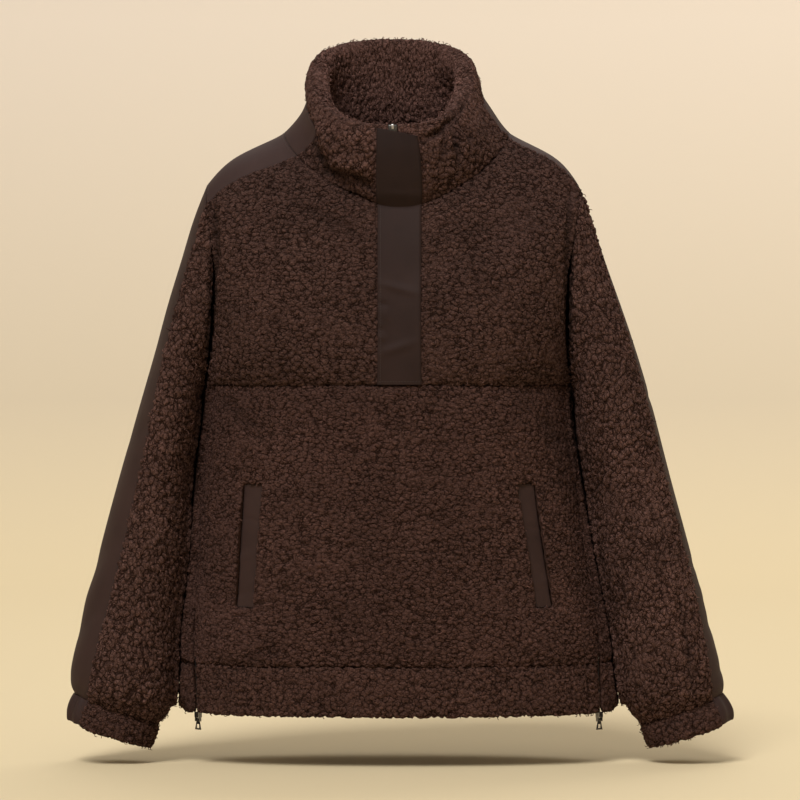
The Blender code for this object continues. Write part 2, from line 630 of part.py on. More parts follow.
def seam_shifts(surface, cells, gap):
    """How far each point of the piece's edge moves inwards, so that neighbours stay apart."""
    pulls = {}
    for a, b, centre in boundary_edges(surface, cells):
        pa, pb = surface.grid[a], surface.grid[b]
        normal = surface.normals[a] + surface.normals[b]
        inward = np.cross(normal, pb - pa)
        inward /= max(np.linalg.norm(inward), 1e-9)
        if inward @ (centre - pa) < 0:
            inward = -inward
        for key in (a, b):
            pulls.setdefault(key, []).append((inward, gap(a, b)))
    shifts = {}
    for key, found in pulls.items():
        (d1, g1), (d2, g2) = found[0], found[-1]
        c = float(d1 @ d2)
        if c > 0.8:
            middle = d1 + d2
            shifts[key] = middle / np.linalg.norm(middle) * (g1 + g2) / 2
        else:
            shifts[key] = (d1 * (g1 - c * g2) + d2 * (g2 - c * g1)) / max(1 - c * c, 0.15)
    return shifts


def wall(name, surface, cells, outer, inner, gap, look, group):
    """A closed cloth wall over the cells. outer(column, row) and inner(column, row) are its two offsets."""
    cells = sorted(cells)
    shifts = seam_shifts(surface, cells, gap)
    index, points = {}, []
    for cell in cells:
        for key in surface.keys(cell):
            if key in index:
                continue
            index[key] = len(points)
            base = surface.grid[key] + shifts.get(key, 0)
            points.append(base + surface.normals[key] * outer(*key))
            points.append(base + surface.normals[key] * inner(*key))
    faces = []
    for cell in cells:
        a, b, c, d = (index[k] for k in surface.keys(cell))
        faces += [(a, b, c), (a, c, d), (a + 1, c + 1, b + 1), (a + 1, d + 1, c + 1)]
    for a, b, _ in boundary_edges(surface, cells):
        p, q = index[a], index[b]
        # Both neighbours split this side along the same diagonal
        if a < b:
            faces += [(q, p, q + 1), (p, p + 1, q + 1)]
        else:
            faces += [(q, p, p + 1), (q, p + 1, q + 1)]
    mesh = bpy.data.meshes.new(name)
    mesh.from_pydata([Vector(p) * MM for p in points], [], faces)
    mesh.update()
    mesh.materials.append(material(name, look))
    mesh.shade_smooth()
    mesh.set_sharp_from_angle(angle=math.radians(40))
    obj = bpy.data.objects.new(name, mesh)
    group.objects.link(obj)
    return obj


def block(columns, rows, total=COLUMNS):
    return {(i % total, j) for i in columns for j in rows}


def plain_gap(a, b):
    return SEAM_HALF_GAP


def body_gap(a, b):
    """Free at the hem, wide at the zips, and a seam's gap elsewhere."""
    if a[1] == b[1] == 0:
        return 0.0
    if a[0] == b[0]:
        if a[0] == 0 and min(a[1], b[1]) >= CHEST_ROW:
            return CHAIN_HALF_SLOT
        if a[0] in (EDGE_FRONT, COLUMNS - EDGE_FRONT) and max(a[1], b[1]) <= ZIP_TOP_ROW:
            return CHAIN_HALF_SLOT
    return SEAM_HALF_GAP


def collar_gap(a, b):
    if a[1] == b[1] == COLLAR_ROWS - 1:
        return 0.0
    if a[0] == b[0] == 0:
        return SLIDER_HALF_SLOT if max(a[1], b[1]) >= COLLAR_ROWS - 3 else CHAIN_HALF_SLOT
    return COLLAR_SEAM_HALF_GAP + (0.15 if a[1] == b[1] == 0 else 0.1)


def sleeve_gap(last):
    def gap(a, b):
        return 0.0 if a[1] == b[1] == last else SEAM_HALF_GAP
    return gap


def under_fly(column):
    return column in (0, 1, COLUMNS - 1)


def fur_height(column, row):
    """Pile height: pressed down at the seams and under the fly."""
    if row >= CHEST_ROW and under_fly(column):
        return FUR_UNDER_FLY
    half = column if column <= HALF else COLUMNS - column
    welt = half in (WELT_COLUMN, WELT_COLUMN + 1) and row in (WELT_LOW_ROW, WELT_HIGH_ROW)
    if row == 0:
        return FUR_AT_SEAM + 1
    if row in (BAND_ROW, NECK_ROW) or half == EDGE_FRONT or welt:
        return FUR_AT_SEAM
    if row == CHEST_ROW and half <= EDGE_FRONT:
        return FUR_AT_SEAM
    if half == EDGE_BACK and row >= CHEST_ROW:
        return FUR_AT_SEAM
    return FUR


def sleeve_fur(column, ring):
    if ring in (0, CUFF_RING) or column in (0, SIDE_CELLS):
        return FUR_AT_SEAM
    if column == UNDERARM_COLUMN and ring < CUFF_RING:
        return FUR_AT_SEAM
    return min(FUR, FUR_AT_SEAM + 0.8 * ring)


def none(column, row):
    return 0.0


def level(value):
    def offset(column, row):
        return value
    return offset


def build_body(body, group):
    front_rows, back_side = range(BAND_ROW, CHEST_ROW), range(EDGE_FRONT, COLUMNS - EDGE_FRONT)
    fronts = range(-EDGE_FRONT, EDGE_FRONT)
    left_welt = block([WELT_COLUMN], range(WELT_LOW_ROW, WELT_HIGH_ROW))
    right_welt = block([COLUMNS - 1 - WELT_COLUMN], range(WELT_LOW_ROW, WELT_HIGH_ROW))
    upper = range(CHEST_ROW, NECK_ROW)
    shoulder = range(SHOULDER_ROW, NECK_ROW)
    fur = {
        "hem_band_front": block(fronts, range(BAND_ROW)),
        "hem_band_back": block(back_side, range(BAND_ROW)),
        "front_lower": block(fronts, front_rows) - left_welt - right_welt,
        "front_yoke_left": block(range(EDGE_FRONT), upper),
        "front_yoke_right": block(range(-EDGE_FRONT, 0), upper),
        "back": block(back_side, front_rows) | block(range(EDGE_BACK, COLUMNS - EDGE_BACK), upper),
    }
    for name, cells in fur.items():
        wall(name, body, cells, fur_height, none, body_gap, "sherpa", group)
    woven = {
        "shoulder_strip_left": block(range(EDGE_FRONT, EDGE_BACK), shoulder),
        "shoulder_strip_right": block(range(-EDGE_BACK, -EDGE_FRONT), shoulder),
    }
    for name, cells in woven.items():
        wall(name, body, cells, level(WOVEN), none, body_gap, "woven", group)
    for name, cells in (("pocket_welt_left", left_welt), ("pocket_welt_right", right_welt)):
        wall(name, body, cells, level(WELT), none, plain_gap, "woven", group)


def build_sleeve(side, sleeve, group):
    name = "left" if side > 0 else "right"
    around = sleeve.columns
    last = sleeve.grid.shape[1] - 1
    strip, rest = range(SIDE_CELLS), range(SIDE_CELLS, around)
    arm, cuff = range(CUFF_RING), range(CUFF_RING, last)
    gap = sleeve_gap(last)
    halves = {"front": range(SIDE_CELLS, UNDERARM_COLUMN), "back": range(UNDERARM_COLUMN, around)}
    for half, columns in halves.items():
        cells = block(columns, arm, around)
        wall(f"sleeve_{half}_{name}", sleeve, cells, sleeve_fur, none, gap, "sherpa", group)
    wall(f"cuff_{name}", sleeve, block(rest, cuff, around), sleeve_fur, none, gap, "sherpa", group)
    for piece, rows in (("sleeve_strip", arm), ("cuff_strip", cuff)):
        cells = block(strip, rows, around)
        wall(f"{piece}_{name}", sleeve, cells, level(WOVEN), none, gap, "woven", group)


def collar_outer(column, row):
    half = column if column <= HALF else COLUMNS - column
    thick = COLLAR["outside"][row]
    if half <= 1:
        return min(thick, FUR_UNDER_FLY)
    if half == EDGE_FRONT and row <= STRIP_TOP:
        return min(thick, FUR_AT_SEAM)
    return thick


def collar_under_strip(column, row):
    """Outer height of the collar's back piece, which runs on under the woven strip."""
    half = column if column <= HALF else COLUMNS - column
    if EDGE_FRONT <= half <= EDGE_BACK and row <= STRIP_TOP:
        return 0.0
    return collar_outer(column, row)


def collar_inner(column, row):
    """The pile inside is pressed down where the collar's fronts are sewn to the zip."""
    half = column if column <= HALF else COLUMNS - column
    return -COLLAR["inside"][row] * (PRESSED_AT_ZIP if half <= 2 else 1)


def build_collar(collar, group):
    rows = range(COLLAR_ROWS - 1)
    pieces = {
        "collar_front_left": range(EDGE_FRONT),
        "collar_front_right": range(-EDGE_FRONT, 0),
        "collar_back": range(EDGE_FRONT, COLUMNS - EDGE_FRONT),
    }
    for name, columns in pieces.items():
        outer = collar_under_strip if name == "collar_back" else collar_outer
        wall(name, collar, block(columns, rows), outer, collar_inner, collar_gap, "sherpa", group)
    strip_rows = range(STRIP_TOP)
    low = LAY_ON
    for name, columns in (
        ("collar_strip_left", range(EDGE_FRONT, EDGE_BACK)),
        ("collar_strip_right", range(-EDGE_BACK, -EDGE_FRONT)),
    ):
        cells = block(columns, strip_rows)
        wall(name, collar, cells, level(low + WOVEN), level(low), plain_gap, "woven", group)


def build_fly(body, collar, group):
    """The woven fly over the zip, from the chest seam to just below the collar's rim."""
    columns = (COLUMNS - 1, 0, 1)
    grid, normals = [], []
    for column in columns:
        points = [*body.grid[column, CHEST_ROW:], *collar.grid[column, 1:]]
        ups = [*body.normals[column, CHEST_ROW:], *collar.normals[column, 1:]]
        first = NECK_ROW - CHEST_ROW
        line, up = [], []
        for place in [*range(first + FLY_TOP[column][0]), *(first + v for v in FLY_TOP[column])]:
            k = min(int(place), len(points) - 2)
            t = place - k
            line.append(points[k] * (1 - t) + points[k + 1] * t)
            n = ups[k] * (1 - t) + ups[k + 1] * t
            up.append(n / np.linalg.norm(n))
        grid.append(line)
        normals.append(up)
    fly = Surface(np.array(grid), np.array(normals))
    fly.columns = 10**6
    cells = {(i, j) for i in range(2) for j in range(fly.grid.shape[1] - 1)}
    last = fly.grid.shape[1] - 1

    def under(column, row):
        return FUR_UNDER_FLY + LAY_ON + FLY_LIFT * max(0, 1 - (last - row) / 9)

    def over(column, row):
        return under(column, row) + FLY

    wall("zip_fly", fly, cells, over, under, plain_gap, "woven", group)


def bar(name, points, normals, across, half_width, low, high, look, group):
    """A strip of even section along a line of points, such as a zip's chain."""
    corners, faces = [], []
    for p, n in zip(points, normals):
        for side, height in ((-1, low), (1, low), (1, high), (-1, high)):
            corners.append(p + across * side * half_width + n * height)
    count = len(points)
    for k in range(count - 1):
        for a in range(4):
            b = (a + 1) % 4
            faces.append((4 * k + a, 4 * k + b, 4 * k + 4 + b, 4 * k + 4 + a))
    faces += [(3, 2, 1, 0), tuple(4 * (count - 1) + a for a in range(4))]
    mesh = bpy.data.meshes.new(name)
    mesh.from_pydata([Vector(c) * MM for c in corners], [], faces)
    fix = bmesh.new()
    fix.from_mesh(mesh)
    bmesh.ops.recalc_face_normals(fix, faces=fix.faces)
    fix.to_mesh(mesh)
    fix.free()
    mesh.materials.append(material(name, look))
    obj = bpy.data.objects.new(name, mesh)
    group.objects.link(obj)
    return obj


def box(name, size, place, group, look="metal", bevel=0.0):
    bpy.ops.mesh.primitive_cube_add(size=1)
    obj = bpy.context.object
    obj.name = obj.data.name = name
    obj.data.transform(Matrix.Diagonal((*[s * MM for s in size], 1)))
    obj.matrix_world = place
    for old in obj.users_collection:
        old.objects.unlink(obj)
    group.objects.link(obj)
    obj.data.materials.append(material(name, look))
    if bevel:
        made = obj.modifiers.new("edges", "BEVEL")
        made.width, made.segments = bevel * MM, 2
    return obj


def cylinder(name, radius, length, place, group, sides=16):
    bpy.ops.mesh.primitive_cylinder_add(radius=radius * MM, depth=length * MM, vertices=sides)
    obj = bpy.context.object
    obj.name = obj.data.name = name
    obj.data.transform(Matrix.Rotation(math.pi / 2, 4, "Y"))
    obj.matrix_world = place
    for old in obj.users_collection:
        old.objects.unlink(obj)
    group.objects.link(obj)
    return obj


def join_or_cut(obj, other, operation):
    other.hide_render = True
    other.display_type = "WIRE"
    made = obj.modifiers.new(other.name, "BOOLEAN")
    made.operation, made.object = operation, other


def local(place, x, y, z):
    return place @ Matrix.Translation(Vector((x, y, z)) * MM)


def side_zip(side, body, group, cutters):
    """Chain, slider and pull of the zip that opens the side seam at the hem."""
    name = "left" if side > 0 else "right"
    column = EDGE_FRONT if side > 0 else COLUMNS - EDGE_FRONT
    rows = range(ZIP_TOP_ROW)
    points = [body.grid[column, j] for j in rows]
    normals = [body.normals[column, j] for j in rows]
    out = body.normals[column, 0] * (1, 1, 0)
    out /= np.linalg.norm(out)
    across = np.array((-out[1], out[0], 0.0))
    if across[0] < 0:
        across = -across
    bar(f"side_zip_{name}", points, normals, across, CHAIN_HALF_WIDTH, 0.5, 0.5 + CHAIN_THICK, "zip", group)
    centre = body.grid[column, 0] + out * (0.5 + CHAIN_THICK / 2)
    turn = Matrix((across, np.cross((0, 0, 1), across), (0, 0, 1))).transposed().to_4x4()
    hem = Matrix.Translation(Vector(centre) * MM) @ turn
    middle = -(LAY_ON + SLIDER["height"] / 2)
    slider = box(f"side_slider_{name}", (SLIDER["width"], SLIDER["depth"], SLIDER["height"]),
                 local(hem, 0, 0, middle), group, bevel=0.7)
    low = -(LAY_ON + SLIDER["height"])
    for number, sign in enumerate((-1, 1)):
        ear = box(f"ear_{name}_{number}", (EAR["thick"], EAR["depth"], EAR["length"] + 1),
                  local(hem, sign * (EAR["inner_half"] + EAR["thick"] / 2), 0, low - EAR["length"] / 2 + 0.5),
                  cutters)
        join_or_cut(slider, ear, "UNION")
    pin_place = local(hem, 0, 0, low - PIN_DROP)
    pin = cylinder(f"pin_{name}", PIN_RADIUS, 2 * EAR["inner_half"] + EAR["thick"], pin_place, cutters)
    join_or_cut(slider, pin, "UNION")

    pull = box(f"side_pull_{name}", (PULL["bottom"], PULL["thick"], PULL["length"]), pin_place, group)
    for vertex in pull.data.vertices:
        high = vertex.co.z > 0
        if high:
            vertex.co.x *= PULL["top"] / PULL["bottom"]
        vertex.co.z -= PULL["length"] / 2 * MM
    wide, tall = PULL["window"]
    window = box(f"window_{name}", (wide, 4 * PULL["thick"], tall),
                 local(pin_place, 0, 0, -PULL["length"] + PULL["rim"] + tall / 2), cutters)
    barrel = cylinder(f"barrel_{name}", BARREL_RADIUS, 2 * BARREL_HALF, pin_place, cutters)
    bore = cylinder(f"bore_{name}", BARREL_HOLE, 4 * BARREL_HALF, pin_place, cutters)
    shoulder_cut = box(f"shoulder_{name}", (2 * PULL["bottom"], 4 * PULL["thick"], 2 * BARREL_RADIUS),
                       local(pin_place, 0, 0, 0.9), cutters)
    join_or_cut(pull, window, "DIFFERENCE")
    join_or_cut(pull, shoulder_cut, "DIFFERENCE")
    join_or_cut(pull, barrel, "UNION")
    join_or_cut(pull, bore, "DIFFERENCE")


def front_zip(body, collar, group):
    """Chain from the chest seam to the rim, with the slider at the top and its pull under the fly."""
    stop = COLLAR_ROWS - 2
    points = [*body.grid[0, CHEST_ROW:], *collar.grid[0, 1:stop]]
    normals = [*body.normals[0, CHEST_ROW:], *collar.normals[0, 1:stop]]
    across = np.array((1.0, 0, 0))
    points[0] = points[0] + (0, 0, 0.4)
    bar("front_zip", points, normals, across, CHAIN_HALF_WIDTH, 0.0, CHAIN_THICK, "zip", group)
    top, below, out = points[-1], points[-2], normals[-1]
    up = (top - below) / np.linalg.norm(top - below)
    out = out - up * (out @ up)
    out /= np.linalg.norm(out)
    turn = Matrix((np.cross(-out, up), -out, up)).transposed().to_4x4()
    centre = top + out * CHAIN_THICK / 2
    seat = Matrix.Translation(Vector(centre) * MM) @ turn
    height = FRONT_SLIDER["height"]
    box("front_slider", (FRONT_SLIDER["width"], FRONT_SLIDER["depth"], height),
        local(seat, 0, 0, 3 * LAY_ON + height / 2), group, bevel=0.9)
    low = CHAIN_THICK + LAY_ON
    bar("front_pull", points[-4:-1], normals[-4:-1], across, FRONT_PULL["width"] / 2, low,
        low + FRONT_PULL["thick"], "metal", group)


def main():
    clear_scene()
    group, cutters = collection("quarter_zip_fleece"), collection("cutters")
    sides = {1: "left", -1: "right"}
    keep_body = lambda i, j: not in_armhole(i, j)

    body = body_grid()
    lean_over(body)
    fold_body(body, normals_of(body, keep_body))
    body_normals = normals_of(body, keep_body)
    collar = collar_grid()
    fold_collar(collar, normals_of(collar, lambda i, j: True))
    collar[:, 0] = body[:, NECK_ROW]
    body_normals = smoothed(body_normals, 1)
    collar_normals = smoothed(normals_of(collar, lambda i, j: True), 4)
    shared = smoothed(unit(body_normals[:, NECK_ROW] + collar_normals[:, 0]), 2, rows_too=False)
    body_normals[:, NECK_ROW] = collar_normals[:, 0] = shared

    for side in sides:
        grid = sleeve_grid(side)
        lean_over(grid)
        everywhere = lambda i, j: True
        fold_sleeve(side, grid, normals_of(grid, everywhere) * side)
        normals = normals_of(grid, everywhere) * side
        places = {
            tuple(np.round(body[i, j], 3)): (i, j)
            for i in range(COLUMNS)
            for j in range(CHEST_ROW, SHOULDER_ROW + 1)
        }
        seam = [places[tuple(np.round(p, 3))] for p in grid[:, 0]]
        across = normals[:, 0] + np.array([body_normals[key] for key in seam])
        first = smoothed(armhole_normals(grid[:, 0], across), 1, rows_too=False)
        for k, share in enumerate((1.0, 0.6, 0.3)):
            normals[:, k] = unit(first * share + normals[:, k] * (1 - share))
        for key, n in zip(seam, first):
            body_normals[key] = n
        if side < 0:
            # Turned round so that both sleeves have their faces outwards
            back_to_front = (SIDE_CELLS - np.arange(len(grid))) % len(grid)
            grid, normals = grid[back_to_front], normals[back_to_front]
        build_sleeve(side, Surface(grid, normals), group)

    body, collar = Surface(body, body_normals), Surface(collar, collar_normals)
    build_body(body, group)
    build_collar(collar, group)
    build_fly(body, collar, group)
    front_zip(body, collar, group)
    for side in sides:
        side_zip(side, body, group, cutters)


main()
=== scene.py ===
import math
from functools import cache

import bmesh
import bpy
import numpy as np
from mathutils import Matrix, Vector
from mathutils.bvhtree import BVHTree


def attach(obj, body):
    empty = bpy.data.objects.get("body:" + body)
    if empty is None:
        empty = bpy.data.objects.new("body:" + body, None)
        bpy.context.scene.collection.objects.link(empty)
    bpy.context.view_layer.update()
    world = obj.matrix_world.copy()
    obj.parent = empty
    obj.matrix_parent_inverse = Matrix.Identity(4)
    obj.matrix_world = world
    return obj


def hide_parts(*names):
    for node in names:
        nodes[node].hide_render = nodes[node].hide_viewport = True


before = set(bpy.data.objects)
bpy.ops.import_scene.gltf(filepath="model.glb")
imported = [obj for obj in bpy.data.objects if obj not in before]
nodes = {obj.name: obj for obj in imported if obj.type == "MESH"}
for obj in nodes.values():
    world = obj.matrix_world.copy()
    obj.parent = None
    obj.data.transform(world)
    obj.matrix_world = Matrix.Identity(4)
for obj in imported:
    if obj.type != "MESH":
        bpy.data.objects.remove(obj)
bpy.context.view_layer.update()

mm = 0.001


# Camera and studio

camera = {"distance": 4.5, "height": -0.2915, "widthAtGarment": 0.904, "sensor": 36.0}
studio = {
    "floorZ": -0.699, "radius": 9.0, "curve": 5.0, "wallTop": 6.0, "curveSteps": 16, "roundSteps": 72,
    "floorColor": (0.672, 0.562, 0.366), "middleColor": (0.572, 0.485, 0.352),
    "topColor": (0.662, 0.576, 0.473), "paintedLightHeights": (-0.69, -0.29, 0.85),
    "sideReach": 1.3, "sideLight": (0.975, 1.045),
    "worldColor": (1.0, 0.985, 0.96), "worldStrength": 0.42,
}
suns = {
    "key": {"from": (-0.30, -1.0, 1.25), "power": 2.5, "softness": 24, "color": (1.0, 0.985, 0.96)},
    "back": {"from": (0.25, 1.0, 0.95), "power": 1.1, "softness": 50, "color": (1.0, 0.98, 0.95)},
}


def addCamera():
    data = bpy.data.cameras.new("camera")
    data.sensor_width = camera["sensor"]
    data.lens = camera["sensor"] * camera["distance"] / camera["widthAtGarment"]
    obj = bpy.data.objects.new("camera", data)
    bpy.context.scene.collection.objects.link(obj)
    obj.location = (0, -camera["distance"], camera["height"])
    obj.rotation_euler = (math.radians(90), 0, 0)
    bpy.context.scene.camera = obj


def addSun(name, sun):
    data = bpy.data.lights.new(name, "SUN")
    data.energy, data.color, data.angle = sun["power"], sun["color"], math.radians(sun["softness"])
    obj = bpy.data.objects.new(name, data)
    bpy.context.scene.collection.objects.link(obj)
    obj.location = Vector(sun["from"]) * 3
    obj.rotation_euler = (-Vector(sun["from"])).to_track_quat("-Z", "Y").to_euler()


def sweepMesh():
    # a round sweep, so that every side has the same plain backdrop
    radius, curve, floorZ, steps = (studio[key] for key in ("radius", "curve", "floorZ", "curveSteps"))
    profile = [(0.0, floorZ), (radius - curve, floorZ)]
    for k in range(1, steps + 1):
        turn = math.radians(90 * k / steps)
        profile.append((radius - curve * (1 - math.sin(turn)), floorZ + curve * (1 - math.cos(turn))))
    profile.append((radius, studio["wallTop"]))
    bm = bmesh.new()
    verts = [bm.verts.new((r, 0, z)) for r, z in profile]
    edges = [bm.edges.new(pair) for pair in zip(verts, verts[1:])]
    bmesh.ops.spin(bm, geom=verts + edges, axis=(0, 0, 1), cent=(0, 0, 0), angle=math.tau,
                   steps=studio["roundSteps"])
    bmesh.ops.remove_doubles(bm, verts=bm.verts, dist=1e-4)
    mesh = bpy.data.meshes.new("studioSweep")
    bm.to_mesh(mesh)
    bm.free()
    mesh.shade_smooth()
    return mesh


def sweepMaterial():
    mat, tree, shader = newMaterial("paleSweep", 0.9, 0.1)
    place = addNode(tree, "ShaderNodeNewGeometry")
    parts = addNode(tree, "ShaderNodeSeparateXYZ", {0: place.outputs["Position"]})
    height = parts.outputs["Z"]
    floor, middle, top = ((*studio[key], 1) for key in ("floorColor", "middleColor", "topColor"))
    low, bend, high = studio["paintedLightHeights"]
    # painted light: the sweep's colour changes with height, lighter at the top, and grows lighter towards the
    # right
    lower = mixColor(tree, mapTo(tree, height, low, bend, 0, 1), floor, middle)
    tones = mixColor(tree, mapTo(tree, height, bend, high, 0, 1), lower, top)
    reach = studio["sideReach"]
    lit = mapTo(tree, parts.outputs["X"], -reach, reach, *studio["sideLight"])  # lighter on the right
    tree.links.new(vectorCalc(tree, "SCALE", tones, scale=lit), shader.inputs["Base Color"])
    return mat


def addStudio():
    sweep = bpy.data.objects.new("studioSweep", sweepMesh())
    bpy.context.scene.collection.objects.link(sweep)
    sweep.data.materials.append(sweepMaterial())
    world = bpy.data.worlds.new("softRoom")
    bpy.context.scene.world = world
    world.use_nodes = True
    background = world.node_tree.nodes["Background"]
    background.inputs["Color"].default_value = (*studio["worldColor"], 1)
    background.inputs["Strength"].default_value = studio["worldStrength"]
    for name, sun in suns.items():
        addSun(name, sun)
    bpy.context.scene.view_settings.view_transform = "Standard"


# Node helpers, for materials and for geometry nodes alike

def addNode(tree, kind, inputs=None, **settings):
    node = tree.nodes.new(kind)
    for key, value in settings.items():
        setattr(node, key, value)
    for key, value in (inputs or {}).items():
        if isinstance(value, bpy.types.NodeSocket):
            tree.links.new(value, node.inputs[key])
        else:
            node.inputs[key].default_value = value
    return node


def calc(tree, operation, a, b=0.0, clamp=False):
    node = addNode(tree, "ShaderNodeMath", {0: a, 1: b}, operation=operation, use_clamp=clamp)
    return node.outputs[0]


def times(tree, a, b):
    return calc(tree, "MULTIPLY", a, b)


def plus(tree, a, b):
    return calc(tree, "ADD", a, b)


def minus(tree, a, b):
    return calc(tree, "SUBTRACT", a, b)


def mapTo(tree, value, fromLow, fromHigh, low, high, smooth=False):
    node = addNode(tree, "ShaderNodeMapRange", {
        "Value": value, "From Min": fromLow, "From Max": fromHigh, "To Min": low, "To Max": high,
    }, interpolation_type="SMOOTHSTEP" if smooth else "LINEAR")
    return node.outputs["Result"]


def vectorCalc(tree, operation, a, b=None, scale=None):
    inputs = {0: a}
    if b is not None:
        inputs[1] = b
    if scale is not None:
        inputs["Scale"] = scale
    return addNode(tree, "ShaderNodeVectorMath", inputs, operation=operation).outputs[0]


def noise(tree, place, scale, detail=0.0, output="Fac", roughness=0.5):
    node = addNode(tree, "ShaderNodeTexNoise", {
        "Vector": place, "Scale": scale, "Detail": detail, "Roughness": roughness,
    })
    return node.outputs[output]


def mixColor(tree, share, a, b):
    node = addNode(tree, "ShaderNodeMix", data_type="RGBA")
    for key, value in (("Factor", share), ("A", a), ("B", b)):
        socket = next(s for s in node.inputs if s.name == key and s.enabled)
        if isinstance(value, bpy.types.NodeSocket):
            tree.links.new(value, socket)
        else:
            socket.default_value = value
    return next(s for s in node.outputs if s.enabled)


def stored(tree, name, output):
    # a value kept on the mesh
    return addNode(tree, "ShaderNodeAttribute", attribute_name=name).outputs[output]


def bumped(tree, height, strength, distance, under=None):
    inputs = {"Height": height, "Strength": strength, "Distance": distance * mm}
    if under is not None:
        inputs["Normal"] = under
    return addNode(tree, "ShaderNodeBump", inputs).outputs["Normal"]


def dimmed(color, share):
    return tuple(c * share for c in color[:3]) + (1,)


def newMaterial(name, roughness, specular=None):
    mat = bpy.data.materials.new(name)
    mat.use_nodes = True
    tree = mat.node_tree
    shader = tree.nodes["Principled BSDF"]
    shader.inputs["Roughness"].default_value = roughness
    if specular is not None:
        shader.inputs["Specular IOR Level"].default_value = specular
    return mat, tree, shader


addCamera()
addStudio()
print("camera and studio ready")


# Sherpa: clumps with winding creases. The same pattern drives the mesh, the colour and the bump

# the tone scales each style's pile colour; the differences in tone between styles are painted light on one
# and the same sherpa
curlStyles = {
    "chest": {"size": 5.2, "stretch": (0.80, 0.9, 1.16), "deep": 0.82, "fine": 1.12,
        "calm": (0.30, 0.54, 0.50), "bump": 3.8, "toneAndPaintedLight": (1.30, 1.31, 1.34)},
    "belly": {"size": 4.8, "stretch": (0.76, 0.9, 1.24), "deep": 0.82, "fine": 1.15,
        "calm": (0.28, 0.54, 0.50), "bump": 3.7, "toneAndPaintedLight": (1.36, 1.32, 1.34)},
    "sleeve": {"size": 5.8, "stretch": (1.06, 1.0, 0.90), "deep": 0.84, "fine": 1.10,
        "calm": (0.26, 0.52, 0.50), "bump": 4.2, "toneAndPaintedLight": (1.60, 1.62, 1.66)},
    "band": {"size": 5.0, "stretch": (0.90, 0.9, 1.04), "deep": 0.66, "fine": 1.02,
        "calm": (0.28, 0.54, 0.50), "bump": 3.6, "toneAndPaintedLight": (1.24, 1.20, 1.18)},
    "collar": {"size": 4.6, "stretch": (1.1, 1.0, 0.86), "deep": 0.70, "fine": 1.10,
        "calm": (0.32, 0.58, 0.40), "bump": 3.5, "toneAndPaintedLight": (1.22, 1.22, 1.24)},
}
# the colour runs from gap to tip with the curl height: gap is painted shade deep between the curls
sherpaColors = {
    "gap": (0.0105, 0.0046, 0.0033), "body": (0.0465, 0.0224, 0.0178), "tip": (0.088, 0.0470, 0.0392),
    "backing": (0.030, 0.014, 0.011),
}


def warped(tree, place, scale, amount, detail=1.0):
    swirl = noise(tree, place, scale, detail, "Color")
    centred = vectorCalc(tree, "SUBTRACT", swirl, (0.5, 0.5, 0.5))
    return vectorCalc(tree, "ADD", place, vectorCalc(tree, "SCALE", centred, scale=amount))


def winding(tree, place, scale, width=0.12, power=0.6):
    # rounded ridges between thin winding creases
    away = calc(tree, "ABSOLUTE", minus(tree, noise(tree, place, scale), 0.5))
    return calc(tree, "POWER", mapTo(tree, away, 0.0, width, 0.0, 1.0), power)


def clumps(tree, place, style):
    # domes and the gaps between them
    look = curlStyles[style]
    size = look["size"] * mm
    spread = vectorCalc(tree, "MULTIPLY", place, look["stretch"])
    low, high, least = look["calm"]
    openness = mapTo(tree, noise(tree, spread, 0.12 / size, 2.0), low, high, least, 1.0, smooth=True)
    bent = warped(tree, spread, 0.5 / size, 1.3 * size)
    bent = warped(tree, bent, 1.9 / size, 0.55 * size, 0.0)
    cell = {"Vector": bent, "Scale": 1 / size}
    middle, edge = (
        addNode(tree, "ShaderNodeTexVoronoi", cell, feature=kind).outputs["Distance"]
        for kind in ("F1", "DISTANCE_TO_EDGE")
    )
    line = mapTo(tree, edge, 0.0, 0.13, 1.0, 0.0)
    corner = mapTo(tree, middle, 0.28, 0.70, 0.20, 1.0, smooth=True)
    gap = times(tree, times(tree, line, corner), openness)
    dome = mapTo(tree, middle, 0.0, 0.9, 1.0, 0.0)
    return spread, bent, dome, gap


def curlHeight(tree, place, style):
    # 0 in the gaps between curls, 1 on their tops
    look = curlStyles[style]
    size = look["size"] * mm
    spread, bent, dome, gap = clumps(tree, place, style)
    loose = warped(tree, spread, 1.3 / size, 1.0 * size)
    ridges = times(tree, winding(tree, loose, 1.5 / size), 0.42)
    ridges = plus(tree, ridges, times(tree, winding(tree, bent, 2.5 / size), 0.34))
    ridges = plus(tree, ridges, times(tree, winding(tree, loose, 4.2 / size, power=0.7), 0.24))
    height = plus(tree, times(tree, dome, 0.25), 0.50 - 0.70 * look["fine"])
    height = plus(tree, height, times(tree, ridges, look["fine"]))
    return calc(tree, "SUBTRACT", height, times(tree, gap, look["deep"]), clamp=True)


@cache
def curlModifier(style):
    # moves each point out along its normal by the clump that stands there
    tree = bpy.data.node_groups.new(f"curls_{style}", "GeometryNodeTree")
    for way in ("INPUT", "OUTPUT"):
        tree.interface.new_socket("Geometry", in_out=way, socket_type="NodeSocketGeometry")
    start, end = addNode(tree, "NodeGroupInput"), addNode(tree, "NodeGroupOutput")
    held = {}
    for key, kind in (("restPlace", "FLOAT_VECTOR"), ("pileDepth", "FLOAT")):
        node = addNode(tree, "GeometryNodeInputNamedAttribute", {"Name": key}, data_type=kind)
        held[key] = next(s for s in node.outputs if s.enabled and s.name == "Attribute")
    dome, gap = clumps(tree, held["restPlace"], style)[2:]
    rise = minus(tree, times(tree, dome, 0.55), times(tree, gap, 0.50))
    lift = times(tree, minus(tree, rise, 0.22), held["pileDepth"])
    normal = addNode(tree, "GeometryNodeInputNormal")
    offset = vectorCalc(tree, "SCALE", normal.outputs[0], scale=lift)
    moved = addNode(tree, "GeometryNodeSetPosition", {"Offset": offset})
    tree.links.new(start.outputs[0], moved.inputs["Geometry"])
    tree.links.new(moved.outputs[0], end.inputs[0])
    return tree


